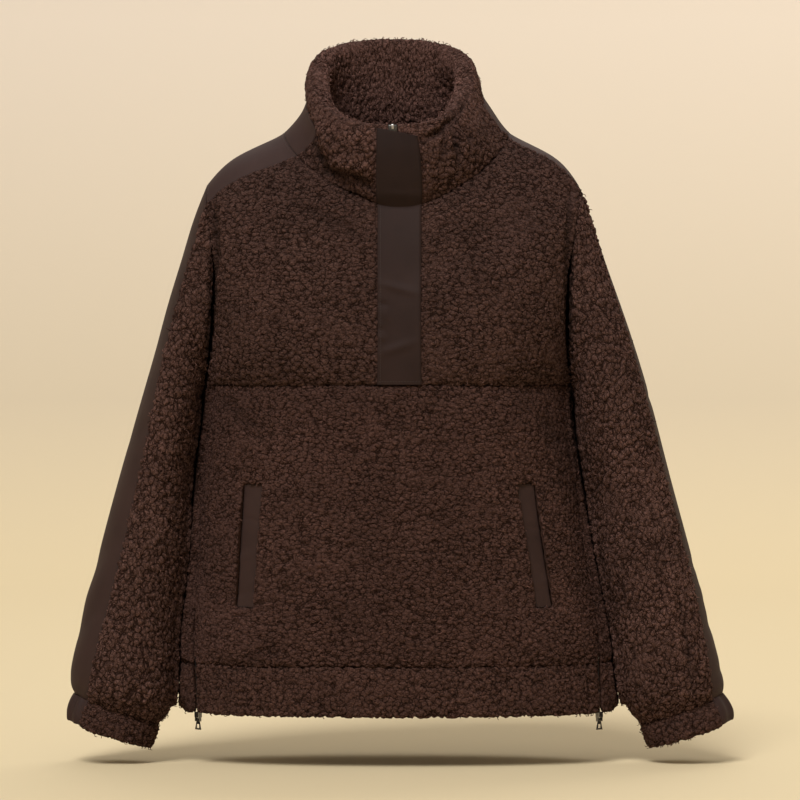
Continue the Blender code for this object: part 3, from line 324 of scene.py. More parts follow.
@cache
def sherpaMaterial(style):
    mat, tree, shader = newMaterial(f"sherpa_{style}", 0.95, 0.06)
    place = stored(tree, "restPlace", "Vector")
    pile = stored(tree, "pileShare", "Fac")
    # paintedLight holds the painted light and shade worked out for each point of the pile
    light = stored(tree, "paintedLight", "Fac")
    height = curlHeight(tree, place, style)
    toneAndPaintedLight = curlStyles[style]["toneAndPaintedLight"]
    shades = {key: tuple(c * t for c, t in zip(color, toneAndPaintedLight)) + (1,) for key, color in sherpaColors.items()}
    # painted shade: darker from the curl tops down into the gaps between curls
    low = mixColor(tree, mapTo(tree, height, 0.08, 0.50, 0, 1, smooth=True), shades["gap"], shades["body"])
    full = mixColor(tree, mapTo(tree, height, 0.50, 0.85, 0, 1), low, shades["tip"])
    worn = mapTo(tree, noise(tree, place, 14.0, 3.0), 0.35, 0.70, 0.86, 1.12)
    fibres = noise(tree, place, 560.0, 2.0, roughness=0.6)
    hairs = mapTo(tree, fibres, 0.3, 0.7, 0.74, 1.26)
    shade = times(tree, times(tree, worn, hairs), plus(tree, light, 1.0))
    toned = vectorCalc(tree, "SCALE", full, scale=shade)
    inside = vectorCalc(tree, "SCALE", shades["backing"][:3], scale=hairs)
    tree.links.new(mixColor(tree, pile, inside, toned), shader.inputs["Base Color"])
    shader.inputs["Sheen Weight"].default_value = 0.08
    shader.inputs["Sheen Roughness"].default_value = 0.6
    shader.inputs["Sheen Tint"].default_value = (0.60, 0.36, 0.28, 1)
    relief = plus(tree, times(tree, height, pile), times(tree, fibres, 0.25))
    tree.links.new(bumped(tree, relief, 1.0, curlStyles[style]["bump"]), shader.inputs["Normal"])
    return mat


# Meshes from the garment's own panels

def linkObject(name, mesh):
    obj = bpy.data.objects.new(name, mesh)
    bpy.context.scene.collection.objects.link(obj)
    return obj


def solidObject(name, verts, faces):
    # a closed mesh with its faces turned outwards
    mesh = bpy.data.meshes.new(name)
    mesh.from_pydata(verts, [], faces)
    bm = bmesh.new()
    bm.from_mesh(mesh)
    bmesh.ops.recalc_face_normals(bm, faces=bm.faces)
    bm.to_mesh(mesh)
    bm.free()
    return linkObject(name, mesh)


def standIn(obj, node):
    # takes the place of the plain solid
    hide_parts(node)
    onGarment(obj)


def onGarment(obj):
    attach(obj, "garment")


def onlyMaterial(mesh, mat):
    mesh.materials.clear()
    mesh.materials.append(mat)


def panelCopy(node, name):
    # the panel's wall as clean quads with sharp seam edges
    bm = bmesh.new()
    bm.from_mesh(nodes[node].data)
    bmesh.ops.remove_doubles(bm, verts=bm.verts, dist=1e-5)
    bmesh.ops.join_triangles(bm, faces=bm.faces, angle_face_threshold=math.radians(50),
                             angle_shape_threshold=math.radians(60))
    layer = bm.edges.layers.float.new("crease_edge")
    for edge in bm.edges:
        if len(edge.link_faces) == 2 and edge.calc_face_angle(0) > math.radians(48):
            edge[layer] = 1.0
    mesh = bpy.data.meshes.new(name)
    bm.to_mesh(mesh)
    bm.free()
    mesh.materials.clear()
    return linkObject(name, mesh)


def baked(obj):
    # the object with its modifiers applied
    bpy.context.view_layer.update()
    mesh = bpy.data.meshes.new_from_object(obj.evaluated_get(bpy.context.evaluated_depsgraph_get()))
    old = obj.data
    obj.modifiers.clear()
    obj.data = mesh
    mesh.name = obj.name
    bpy.data.meshes.remove(old)
    return obj


def readAll(items, key, width=1, kind=np.float32):
    values = np.empty(len(items) * width, kind)
    items.foreach_get(key, values)
    return values.reshape(-1, width) if width > 1 else values


def pointsOf(mesh):
    return readAll(mesh.vertices, "co", 3).astype(float)


def normalsOf(mesh):
    return readAll(mesh.vertex_normals, "vector", 3).astype(float)


def unit(vectors):
    return vectors / np.maximum(np.linalg.norm(vectors, axis=1, keepdims=True), 1e-9)


def reachAlong(points):
    # how far each point lies along the run
    return np.concatenate(([0], np.cumsum(np.linalg.norm(np.diff(points, axis=0), axis=1))))


def between(places, reach, values):
    return np.stack([np.interp(places, reach, values[:, k]) for k in range(3)], axis=1)


def setPoints(mesh, points):
    mesh.vertices.foreach_set("co", points.astype(np.float32).ravel())
    mesh.update()


def storeOn(mesh, name, values, kind="FLOAT"):
    attribute = mesh.attributes.new(name, kind, "POINT")
    key = "vector" if kind == "FLOAT_VECTOR" else "value"
    attribute.data.foreach_set(key, np.asarray(values, np.float32).ravel())


def triangleCount(obj):
    return sum(len(p.vertices) - 2 for p in obj.data.polygons)


def evenedOut(mesh, values, rounds):
    # each point takes half of its value from its neighbours, a few times over
    a, b = readAll(mesh.edges, "vertices", 2, np.int32).T
    many = len(values)
    count = np.maximum(np.bincount(a, minlength=many) + np.bincount(b, minlength=many), 1)
    for _ in range(rounds):
        near = np.bincount(a, values[b], many) + np.bincount(b, values[a], many)
        values = 0.5 * values + 0.5 * near / count
    return values


def awayFrom(points, axis):
    # the way out from the line through the body, collar or arm
    start, end = (np.array(p, float) for p in axis)
    along = end - start
    t = np.clip((points - start) @ along / (along @ along), 0, 1)
    return unit(points - (start + t[:, None] * along))


def facingOut(points, normals, axis):
    # from -1 inside the garment to 1 outside
    return (awayFrom(points, axis) * normals).sum(axis=1)


def soft(value, low, high):
    t = np.clip((value - low) / (high - low), 0, 1)
    return t * t * (3 - 2 * t)


def pressCreases(points, normals, creases, share=1.0):
    # each crease runs between two points of the front view, in mm
    for face, start, end, depth, width in creases:
        a, b = np.array(start, float) * mm, np.array(end, float) * mm
        along = b - a
        flat = points[:, [0, 2]]
        t = np.clip((flat - a) @ along / (along @ along), 0, 1)
        away = np.linalg.norm(flat - a - t[:, None] * along, axis=1)
        fade = np.sin(np.pi * np.clip(t, 0.06, 0.94)) ** 0.6
        there = points[:, 1] * face > 0 if face else True
        size = depth * mm * np.exp(-(away / (width * mm)) ** 2) * fade * there
        points += normals * (size * share)[:, None]
    return points


def shapesOf(names):
    # several solids as one tree, with the name of each face's solid
    verts, faces, owners = [], [], []
    for name in names:
        mesh, start = nodes[name].data, len(verts)
        verts += [v.co[:] for v in mesh.vertices]
        faces += [[start + k for k in p.vertices] for p in mesh.polygons]
        owners += [name] * len(mesh.polygons)
    return BVHTree.FromPolygons(verts, faces), owners


def solidsAround(node):
    # every other solid, to see how much room the pile has
    return shapesOf([name for name in nodes if name != node and "pull" not in name and "side_" not in name])


def wavering(points, size):
    # a slow wander that both sides of a seam share
    x, y, z = points.T / size
    return (np.sin(x + 1.7 * z) + np.sin(2.3 * x - 1.1 * y + 2.0) + 0.6 * np.sin(4.1 * z + 3.3 * y)) / 2.6


bodyAxis = ((-0.005, 0.0, -0.66), (-0.005, 0.0, -0.15))
collarAxis = ((-0.009, 0.0, -0.10), (-0.009, 0.0, 0.14))
leftArm = ((0.205, 0.0, -0.165), (0.325, -0.018, -0.66))
rightArm = ((-0.215, 0.0, -0.165), (-0.328, -0.018, -0.66))


def axisOf(node):
    # the line that the piece goes round
    if node.startswith("collar"):
        return collarAxis
    if node.startswith(("sleeve", "cuff")):
        return leftArm if node.endswith("left") else rightArm
    return bodyAxis


# Finer creases than the panels have: the side (-1 front, 1 back, 0 both), the start and end, how deep
# they are (troughs are negative) and how wide
furCreases = [
    (-1, (-196, -520), (-160, -470), -2.2, 7),
    (-1, (-185, -585), (-120, -560), -1.8, 8),
    (-1, (150, -300), (188, -345), -2.4, 8),
    (-1, (-200, -290), (-150, -330), -2.2, 9),
    (-1, (40, -92), (118, -60), 2.0, 7),
    (-1, (52, -112), (128, -92), -1.8, 6),
    (-1, (-120, -70), (-40, -112), -2.2, 7),
    (-1, (170, -470), (200, -560), 1.8, 10),
    (-1, (-208, -66), (-204, -130), -4.0, 3.4),
    (-1, (-203, -112), (-209, -186), -4.5, 3.6),
    (-1, (-207, -172), (-215, -246), -4.5, 3.6),
    (-1, (-213, -230), (-228, -334), -2.4, 3.0),
    (-1, (-225, -316), (-235, -430), -1.6, 3.0),
    (-1, (190, -60), (186, -130), -4.0, 3.4),
    (-1, (187, -112), (187, -190), -4.5, 3.6),
    (-1, (186, -172), (190, -250), -4.5, 3.6),
    (-1, (188, -232), (197, -340), -2.4, 3.0),
    (-1, (195, -322), (212, -430), -1.6, 3.0),
    (-1, (298, -470), (318, -640), 2.6, 6),
    (-1, (310, -500), (330, -640), -2.6, 4),
    (1, (-180, -300), (-110, -352), -2.4, 9),
    (1, (178, -296), (104, -350), -2.4, 9),
    (1, (-90, -60), (-20, -84), -2.0, 9),
    (1, (96, -56), (24, -80), 1.8, 8),
    (1, (-60, -470), (-86, -580), -2.2, 12),
    (1, (60, -452), (74, -580), -2.4, 13),
]

# "light" is painted light: it makes a piece lighter than the cloth's own colour
wovenPieces = {
    "shoulder_strip_left": {"light": 1.8, "flat": (0.115, 0.125), "area": 0.0125},
    "shoulder_strip_right": {"light": 1.6, "flat": (0.115, 0.130), "area": 0.0134},
    "sleeve_strip_left": {"light": 1.35, "flat": (0.145, 0.61), "area": 0.0750},
    "sleeve_strip_right": {"light": 1.35, "flat": (0.145, 0.61), "area": 0.0767},
    "cuff_strip_left": {"light": 1.2, "flat": (0.125, 0.036), "area": 0.0030},
    "cuff_strip_right": {"light": 1.2, "flat": (0.125, 0.036), "area": 0.0030},
    "collar_strip_left": {"light": 1.5, "flat": (0.10, 0.060), "area": 0.0056},
    "collar_strip_right": {"light": 1.5, "flat": (0.10, 0.060), "area": 0.0056},
    "zip_fly": {"light": 0.95, "flat": (0.055, 0.305), "area": 0.0165},
    "pocket_welt_left": {"levels": 4, "light": 1.35, "flat": (0.028, 0.148), "area": 0.0040},
    "pocket_welt_right": {"levels": 4, "light": 1.4, "flat": (0.028, 0.148), "area": 0.0040},
}

# The collar's upper half rolls over on the wearer's right, and is pinched on the left
collarCreases = [
    (-1, (-104, 24), (-88, -14), -9.0, 5.0),
    (-1, (-94, -6), (-80, -38), -8.5, 4.6),
    (-1, (-84, -37), (-50, -42), -6.5, 4.2),
    (-1, (-56, -41), (-24, -62), -5.5, 4.5),
    (-1, (-96, 20), (-76, -26), 6.0, 8.0),
    (-1, (-80, -28), (-34, -38), 5.5, 8.0),
    (-1, (76, 62), (70, 36), -5.5, 4.4),
    (-1, (73, 44), (54, 18), -7.5, 4.4),
    (-1, (60, 23), (38, 0), -6.0, 4.4),
    (-1, (44, 4), (18, -8), -4.5, 4.0),
    (-1, (57, 22), (66, -24), -7.5, 4.0),
    (-1, (60, 22), (82, -6), -5.0, 3.6),
    (-1, (52, 12), (48, -26), -4.0, 3.6),
    (-1, (62, 16), (74, -18), 3.6, 4.0),
    (-1, (52, 16), (57, -20), 3.2, 4.0),
    (-1, (-100, -20), (-36, -76), -2.0, 6.0),
    (1, (-66, 72), (-30, 40), -2.4, 6.0),
    (1, (40, 60), (66, 28), -2.2, 6.0),
]

furPieces = {
    "front_yoke_left": {"style": "chest", "voxel": 2.1, "flat": (0.22, 0.33), "area": 0.062},
    "front_yoke_right": {"style": "chest", "voxel": 2.1, "flat": (0.22, 0.33), "area": 0.061},
    "front_lower": {"style": "belly", "voxel": 2.2, "flat": (0.52, 0.34), "area": 0.168},
    "back": {"style": "belly", "voxel": 2.7, "flat": (0.62, 0.65), "area": 0.361},
    "hem_band_front": {"style": "band", "voxel": 2.1, "flat": (0.52, 0.062), "area": 0.0322},
    "hem_band_back": {"style": "band", "voxel": 2.6, "flat": (0.74, 0.062), "area": 0.0455},
    "sleeve_front_left": {"style": "sleeve", "voxel": 2.3, "flat": (0.17, 0.60), "area": 0.078},
    "sleeve_back_left": {"style": "sleeve", "voxel": 2.6, "flat": (0.16, 0.60), "area": 0.072},
    "sleeve_front_right": {"style": "sleeve", "voxel": 2.3, "flat": (0.17, 0.60), "area": 0.078},
    "sleeve_back_right": {"style": "sleeve", "voxel": 2.6, "flat": (0.14, 0.60), "area": 0.062},
    "cuff_left": {"style": "band", "voxel": 2.0, "flat": (0.24, 0.040), "area": 0.0089},
    "cuff_right": {"style": "band", "voxel": 2.0, "flat": (0.24, 0.040), "area": 0.0089},
    "collar_front_left": {"style": "collar", "voxel": 1.8, "flat": (0.19, 0.115), "area": 0.0176},
    "collar_front_right": {"style": "collar", "voxel": 1.8, "flat": (0.16, 0.115), "area": 0.0128},
    "collar_back": {"style": "collar", "voxel": 2.0, "flat": (0.34, 0.128), "area": 0.0425},
}
fur = {
    "depth": {"chest": 3.3, "belly": 3.3, "sleeve": 3.9, "band": 3.8, "collar": 3.3},
    "insideDepth": 0.7, "proud": 0.6, "smoothing": 3, "insideKept": 0.16,
    "reach": 16.0, "narrow": 7.2, "clear": 0.25, "crevice": 1.7, "overlap": 1.4,
    "slotReach": 9.0, "slotClose": 0.62, "slotNear": 7.0,
    "atWoven": 8.0, "touching": 1.5, "overWoven": (1.5, 0.9), "spill": 2.3, "spillReach": 1.3,
    "shadow": 0.42, "paintedRimLight": 0.42, "paintedInsideLight": 1.15, "creaseLight": 0.6, "wander": (1.8, 8.0),
}


def pilePush(mesh, points, normals, out, share, node):
    # the pile fills the narrow spaces beside it and spills over the edges of the woven strips
    around, owners = solidsAround(node)
    slots = shapesOf(["side_zip_left", "side_zip_right"])[0]
    wander = wavering(points, 3.1 * mm)
    push, hollow, covered = (np.zeros(len(points)) for _ in range(3))
    slotReach = fur["slotReach"] * mm
    for k in np.flatnonzero(out > -0.2):
        # the pile closes over the side zips
        near, _, _, far = slots.find_nearest(Vector(points[k]), slotReach)
        if near is not None:
            across = np.array(near) - points[k]
            across -= normals[k] * (across @ normals[k]) * (out[k] > 0.5)
            across[2] = 0
            points[k] += across * fur["slotClose"] * (1 - far / slotReach)
    for k in np.flatnonzero(share > 0.3):
        start, way = Vector(points[k]), Vector(normals[k])
        hit, hitNormal, face, far = around.ray_cast(start + way * 0.05 * mm, way, fur["reach"] * mm)
        if hit is not None and hitNormal.dot(way) < 0:
            atWoven = owners[face] in wovenPieces
            close = far < fur["atWoven"] * mm
            atSlot = close and slots.find_nearest(start, fur["slotNear"] * mm)[0] is not None
            clear = fur["clear"] if far < fur["narrow"] * mm else fur["crevice"]
            if atSlot:
                clear = -fur["overlap"]
            push[k] = max(far / 2 - clear * mm, 0)
            # hollow: how close the next solid lies in front, painted later as shade
            hollow[k] = 0 if atSlot or atWoven else 1 - far / (fur["reach"] * mm)
            if atWoven and close:
                covered[k] = out[k] > 0.6
                least, more = fur["overWoven"]
                beside = out[k] < 0.6 and far < fur["touching"] * mm
                push[k] = (least + more * wander[k]) * mm if beside else 0
        elif hit is None and out[k] < 0.75:
            near = around.find_nearest(start, fur["spillReach"] * mm)[0]
            if near is None:
                push[k] = fur["spill"] * mm * min(1.0, (0.75 - out[k]) / 0.5)
    push, hollow, covered = (evenedOut(mesh, values, 2) for values in (push, hollow, covered))
    return push, hollow, soft(covered, 0.0, 0.4)


def collarRest(points):
    # coordinates that run round, out and up, so that the pile looks combed across the rim
    x, y = points[:, 0] - collarAxis[0][0], points[:, 1]
    turn = np.arctan2(x, y)
    return np.stack((turn * 0.078, np.hypot(x, y) * 0.60, points[:, 2] * 0.82), axis=1)


def thinInside(obj, share):
    # fewer triangles where the panel faces the hollow
    weights = np.clip(1 - share, 0, 1)
    group = obj.vertex_groups.new(name="inside")
    for level in range(1, 5):
        chosen = np.flatnonzero((weights > (level - 0.5) / 4) & (weights <= (level + 0.5) / 4))
        if len(chosen):
            group.add([int(k) for k in chosen], level / 4, "REPLACE")
    thin = obj.modifiers.new("thinInside", "DECIMATE")
    thin.vertex_group = "inside"
    thin.vertex_group_factor = 1.0
    thin.ratio = 1 - float((weights > 0.9).mean()) * (1 - fur["insideKept"])


def makeFur(node, piece):
    obj = panelCopy(node, f"fur_{node}")
    form = obj.modifiers.new("form", "SUBSURF")
    form.levels = form.render_levels = 3
    even = obj.modifiers.new("even", "REMESH")
    even.mode, even.voxel_size = "VOXEL", piece["voxel"] * mm
    relax = obj.modifiers.new("relax", "SMOOTH")
    relax.factor, relax.iterations = 0.5, fur["smoothing"]
    baked(obj)
    mesh = obj.data
    points, normals = pointsOf(mesh), normalsOf(mesh)
    folded = node.startswith("collar")  # pile on both sides
    out = facingOut(points, normals, axisOf(node))
    share = np.ones(len(points)) if folded else soft(out, -0.55, 0.15)
    push, hollow, covered = pilePush(mesh, points, normals, out, share, node)
    # painted shade where another solid lies close in front of the pile
    light = -fur["shadow"] * soft(hollow, 0.15, 0.90)
    if folded:
        # painted light: the collar's rim and its inside are lighter
        slope = points[:, 2] - 0.66 * (points[:, 1] + 0.1)  # the rim rises towards the back
        light += (fur["paintedRimLight"] * soft(slope, -0.016, 0.006) * soft(out, -0.7, 0.1)
                  + fur["paintedInsideLight"] * soft(-out, -0.2, 0.7))
    points += normals * (share * (1 - covered) * (fur["proud"] * mm + push))[:, None]
    creases = collarCreases if folded else furCreases
    pressed = pressCreases(points.copy(), normals, creases, soft(out, -0.1, 0.4) * (1 - covered))
    depth = ((pressed - points) * normals).sum(axis=1)
    # painted shade in the crease troughs, painted light on their ridges
    light += np.clip(depth / (4 * mm), -0.9, 0.35) * fur["creaseLight"]  # a hollow holds less light
    points = pressed
    amount, size = fur["wander"]
    points[:, 2] += amount * mm * wavering(points, size * mm) * soft(hollow, 0.5, 0.95) * share
    setPoints(mesh, points)
    storeOn(mesh, "restPlace", collarRest(points) if folded else points, "FLOAT_VECTOR")
    storeOn(mesh, "pileShare", share)
    storeOn(mesh, "paintedLight", light)
    least, most = fur["insideDepth"], fur["depth"][piece["style"]]
    storeOn(mesh, "pileDepth", (least + (most - least) * share) * (1 - covered) * mm)
    curls = obj.modifiers.new("curls", "NODES")
    curls.node_group = curlModifier(piece["style"])
    if not folded:
        thinInside(obj, share)
    baked(obj)
    onlyMaterial(obj.data, sherpaMaterial(piece["style"]))
    obj.data.shade_smooth()
    standIn(obj, node)
    return obj


furObjects = {node: makeFur(node, piece) for node, piece in furPieces.items()}
print("sherpa panels", {node: triangleCount(obj) for node, obj in furObjects.items()})


# Loose curl ends that stand out of the pile

curlEnds = {
    "perSquareMetre": 4600, "atRim": 30000, "rise": (1.6, 3.2), "bend": (1.2, 3.0), "thick": 0.50,
    "sunk": 0.5, "turn": 0.8, "clear": 14.0, "rings": ((0.0, 1.0), (0.45, 0.95), (0.8, 0.7)),
    "lighter": 0.08, "seed": 7,
}


def makeCurlEnds(node, obj, rng):
    mesh = obj.data
    around = solidsAround(node)[0]
    mesh.calc_loop_triangles()
    corners = readAll(mesh.loop_triangles, "vertices", 3, np.int32)
    points, normals = pointsOf(mesh), normalsOf(mesh)
    share = readAll(mesh.attributes["pileShare"].data, "value")
    a, b, c = points[corners[:, 0]], points[corners[:, 1]], points[corners[:, 2]]
    area = np.linalg.norm(np.cross(b - a, c - a), axis=1) / 2
    edge = 1 - np.abs(facingOut((a + b + c) / 3, normals[corners[:, 0]], axisOf(node)))
    outside = share[corners].min(axis=1) > 0.6
    least = curlEnds["perSquareMetre"]
    dense = least + (curlEnds["atRim"] - least) * soft(edge, 0.3, 0.9)
    weight = area * outside * dense
    many = rng.poisson(weight.sum())
    chosen = rng.choice(len(weight), size=many, p=weight / weight.sum())
    mixA, mixB = rng.random(many), rng.random(many)
    flip = mixA + mixB > 1
    mixA[flip], mixB[flip] = 1 - mixA[flip], 1 - mixB[flip]
    base = a[chosen] + (b - a)[chosen] * mixA[:, None] + (c - a)[chosen] * mixB[:, None]
    up = normals[corners[chosen, 0]]
    free = [
        around.ray_cast(Vector(b0) - Vector(u0) * mm, Vector(u0), curlEnds["clear"] * mm)[0] is None
        for b0, u0 in zip(base, up)
    ]
    base, up, many = base[free], up[free], sum(free)
    side = unit(np.cross(up, rng.normal(size=(many, 3))))
    third = np.cross(up, side)
    rise = rng.uniform(*curlEnds["rise"], many)[:, None] * mm
    bend = rng.uniform(*curlEnds["bend"], many)[:, None] * mm

    def centreAt(turn):
        lifted = base + up * rise * math.sin(turn) + side * bend * (1 - math.cos(turn))
        return lifted - up * curlEnds["sunk"] * mm

    rings = []
    for s, thick in curlEnds["rings"]:
        turn = math.pi * curlEnds["turn"] * s
        centre = centreAt(turn)
        ahead = up * math.cos(turn) + side * math.sin(turn)
        across = np.cross(ahead, third)
        for corner in range(3):
            angle = math.tau * corner / 3
            spoke = third * math.cos(angle) + across * math.sin(angle)
            rings.append(centre + spoke * curlEnds["thick"] * thick * mm)
    rings.append(centreAt(math.pi * curlEnds["turn"]))
    verts = np.stack(rings, axis=1).reshape(-1, 3)
    one = []
    for ring in range(2):
        for corner in range(3):
            k, n = 3 * ring + corner, 3 * ring + (corner + 1) % 3
            one += [(k, n, n + 3), (k, n + 3, k + 3)]
    one += [(6, 7, 9), (7, 8, 9), (8, 6, 9)]
    faces = (np.array(one)[None] + 10 * np.arange(many)[:, None, None]).reshape(-1, 3)
    ends = bpy.data.meshes.new(f"curlEnds_{node}")
    ends.from_pydata(verts.tolist(), [], faces.tolist())
    ends.validate()
    piece = linkObject(f"curlEnds_{node}", ends)
    rest = collarRest(base) if node.startswith("collar") else base
    storeOn(ends, "restPlace", np.repeat(rest, 10, axis=0), "FLOAT_VECTOR")
    storeOn(ends, "pileShare", np.ones(len(verts)))
    # the ends take the painted light and shade of the pile beneath them, and are a little lighter
    light = readAll(mesh.attributes["paintedLight"].data, "value")[corners[chosen[np.array(free)], 0]]
    storeOn(ends, "paintedLight", np.repeat(light + curlEnds["lighter"], 10))
    ends.materials.append(sherpaMaterial(furPieces[node]["style"]))
    ends.shade_smooth()
    onGarment(piece)
    return piece


rng = np.random.default_rng(curlEnds["seed"])
endObjects = [makeCurlEnds(node, obj, rng) for node, obj in furObjects.items()]
print("curl ends", sum(triangleCount(obj) for obj in endObjects))


# Woven cloth

wovenColors = {"deep": (0.0162, 0.0088, 0.0076), "face": (0.0305, 0.0168, 0.0148)}
weltSunk = 1.7
topFlyShade = 0.22
wovenCreases = {
    "sleeve_strip_left": [
        (0, (322, -486), (352, -452), -1.2, 6),
        (0, (330, -516), (362, -488), 1.0, 7),
        (0, (334, -560), (368, -520), -1.3, 7),
        (0, (344, -612), (374, -580), -1.1, 6),
        (0, (352, -646), (376, -622), 0.9, 6),
        (0, (262, -300), (292, -282), -1.2, 6),
    ],
    "sleeve_strip_right": [
        (0, (-358, -500), (-322, -452), -1.1, 7),
        (0, (-364, -530), (-328, -488), 1.1, 8),
        (0, (-370, -566), (-334, -520), -1.4, 7),
        (0, (-374, -604), (-344, -556), 0.9, 7),
        (0, (-376, -640), (-350, -604), -1.2, 6),
        (0, (-222, -196), (-236, -168), -1.4, 4),
        (0, (-300, -340), (-272, -310), -1.2, 7),
    ],
    "pocket_welt_left": [
        (-1, (132, -430), (156, -436), -0.7, 4),
        (-1, (144, -498), (172, -490), 0.7, 5),
    ],
    "pocket_welt_right": [
        (-1, (-180, -420), (-152, -428), -0.7, 4),
        (-1, (-190, -470), (-164, -462), 0.8, 5),
        (-1, (-194, -510), (-170, -504), -0.7, 4),
    ],
    "zip_fly": [
        (-1, (-22, -163), (21, -175), 1.9, 4.5),
        (-1, (-24, -184), (-15, -188), -1.7, 3.0),
        (-1, (-20, -192), (-13, -205), 1.4, 3.0),
        (-1, (-22, -241), (16, -228), 1.8, 5.0),
        (-1, (-24, -212), (-17, -216), -1.5, 2.5),
        (-1, (-24, -222), (-16, -225), 1.4, 2.5),
        (-1, (-25, -72), (26, -76), -1.9, 4.0),
        (-1, (14, -56), (26, -58), -1.0, 2.6),
        (-1, (-21, -64), (20, -66), 1.4, 4.0),
    ],
}
gathers = {"folds": 17, "depth": 0.9, "uneven": 1.3}


def wovenMaterial(name, light):
    mat, tree, shader = newMaterial(f"woven_{name}", 0.66, 0.12)
    place = stored(tree, "restPlace", "Vector")
    patches = noise(tree, place, 22.0, 4.0, roughness=0.6)
    turned = addNode(tree, "ShaderNodeMapping", {"Vector": place, "Rotation": (0, math.radians(28), 0)})
    twill = addNode(tree, "ShaderNodeTexWave", {
        "Vector": turned.outputs[0], "Scale": 520.0, "Distortion": 1.2, "Detail": 2.0,
    }, bands_direction="X").outputs["Fac"]
    slubs = noise(tree, place, 900.0, 2.0)
    shade = plus(tree, mapTo(tree, patches, 0.3, 0.7, 0.25, 0.75), times(tree, twill, 0.18))
    cloth = mixColor(tree, shade, dimmed(wovenColors["deep"], light), dimmed(wovenColors["face"], light))
    # the stored painted shade darkens the fly's top
    toned = vectorCalc(tree, "SCALE", cloth, scale=stored(tree, "paintedShade", "Fac"))
    tree.links.new(toned, shader.inputs["Base Color"])
    fine = bumped(tree, plus(tree, times(tree, twill, 0.35), slubs), 0.25, 0.15)
    ripple = noise(tree, place, 45.0, 2.0)
    tree.links.new(bumped(tree, ripple, 0.30, 2.0, fine), shader.inputs["Normal"])
    return mat


def gathered(points, normals, axis):
    # uneven folds that the elastic draws together
    start, end = (np.array(p, float) for p in axis)
    along = (end - start) / np.linalg.norm(end - start)
    away = points - start
    away -= (away @ along)[:, None] * along
    turn = np.arctan2(away[:, 1], away[:, 0])
    wave = np.sin(gathers["folds"] * turn + gathers["uneven"] * np.sin(5 * turn + 40 * points[:, 2]))
    return points + normals * (gathers["depth"] * mm * wave)[:, None]


def makeWoven(node, piece):
    obj = panelCopy(node, f"cloth_{node}")
    form = obj.modifiers.new("form", "SUBSURF")
    form.levels = form.render_levels = piece.get("levels", 3)
    baked(obj)
    mesh = obj.data
    points, normals = pointsOf(mesh), normalsOf(mesh)
    storeOn(mesh, "restPlace", points, "FLOAT_VECTOR")
    if node.startswith("cuff"):
        out = facingOut(points, normals, axisOf(node))
        points = gathered(points, normals * np.clip(out, 0, 1)[:, None], axisOf(node))
    points = pressCreases(points, awayFrom(points, axisOf(node)), wovenCreases.get(node, []))
    if node.startswith("pocket_welt"):
        points = points - awayFrom(points, axisOf(node)) * weltSunk * mm  # sunk in the pile
    setPoints(mesh, points)
    # painted shade: the top of the fly, under the collar, is darker
    flyShadeMask = soft(points[:, 2], -0.084, -0.068) if node == "zip_fly" else 0.0
    storeOn(mesh, "paintedShade", np.full(len(points), 1.0) - topFlyShade * flyShadeMask)
    mesh.shade_smooth()
    onlyMaterial(mesh, wovenMaterial(node, piece["light"]))
    standIn(obj, node)
    return obj


clothObjects = {node: makeWoven(node, piece) for node, piece in wovenPieces.items()}
print("woven pieces", {node: triangleCount(obj) for node, obj in clothObjects.items()})


# Stitching along the woven edges

stitching = {
    "pitch": 3.1, "length": 2.3, "thick": 0.42, "sink": 0.05, "reach": 12.0,
    "shape": ((-1, 0, 0), (-0.62, 1, 0.5), (0.62, 1, 0.5), (1, 0, 0)), "color": (0.034, 0.022, 0.019, 1),
    "rows": {  # how far in from the edge, and along which sides
        "zip_fly": (3.4, "left bottom"),
        "shoulder_strip_left": (2.6, "all"),
        "shoulder_strip_right": (2.6, "all"),
        "sleeve_strip_left": (2.4, "long"),
        "sleeve_strip_right": (2.4, "long"),
        "collar_strip_left": (2.4, "all"),
        "collar_strip_right": (2.4, "all"),
        "pocket_welt_left": (1.8, "all"),
        "pocket_welt_right": (1.8, "all"),
    },
}


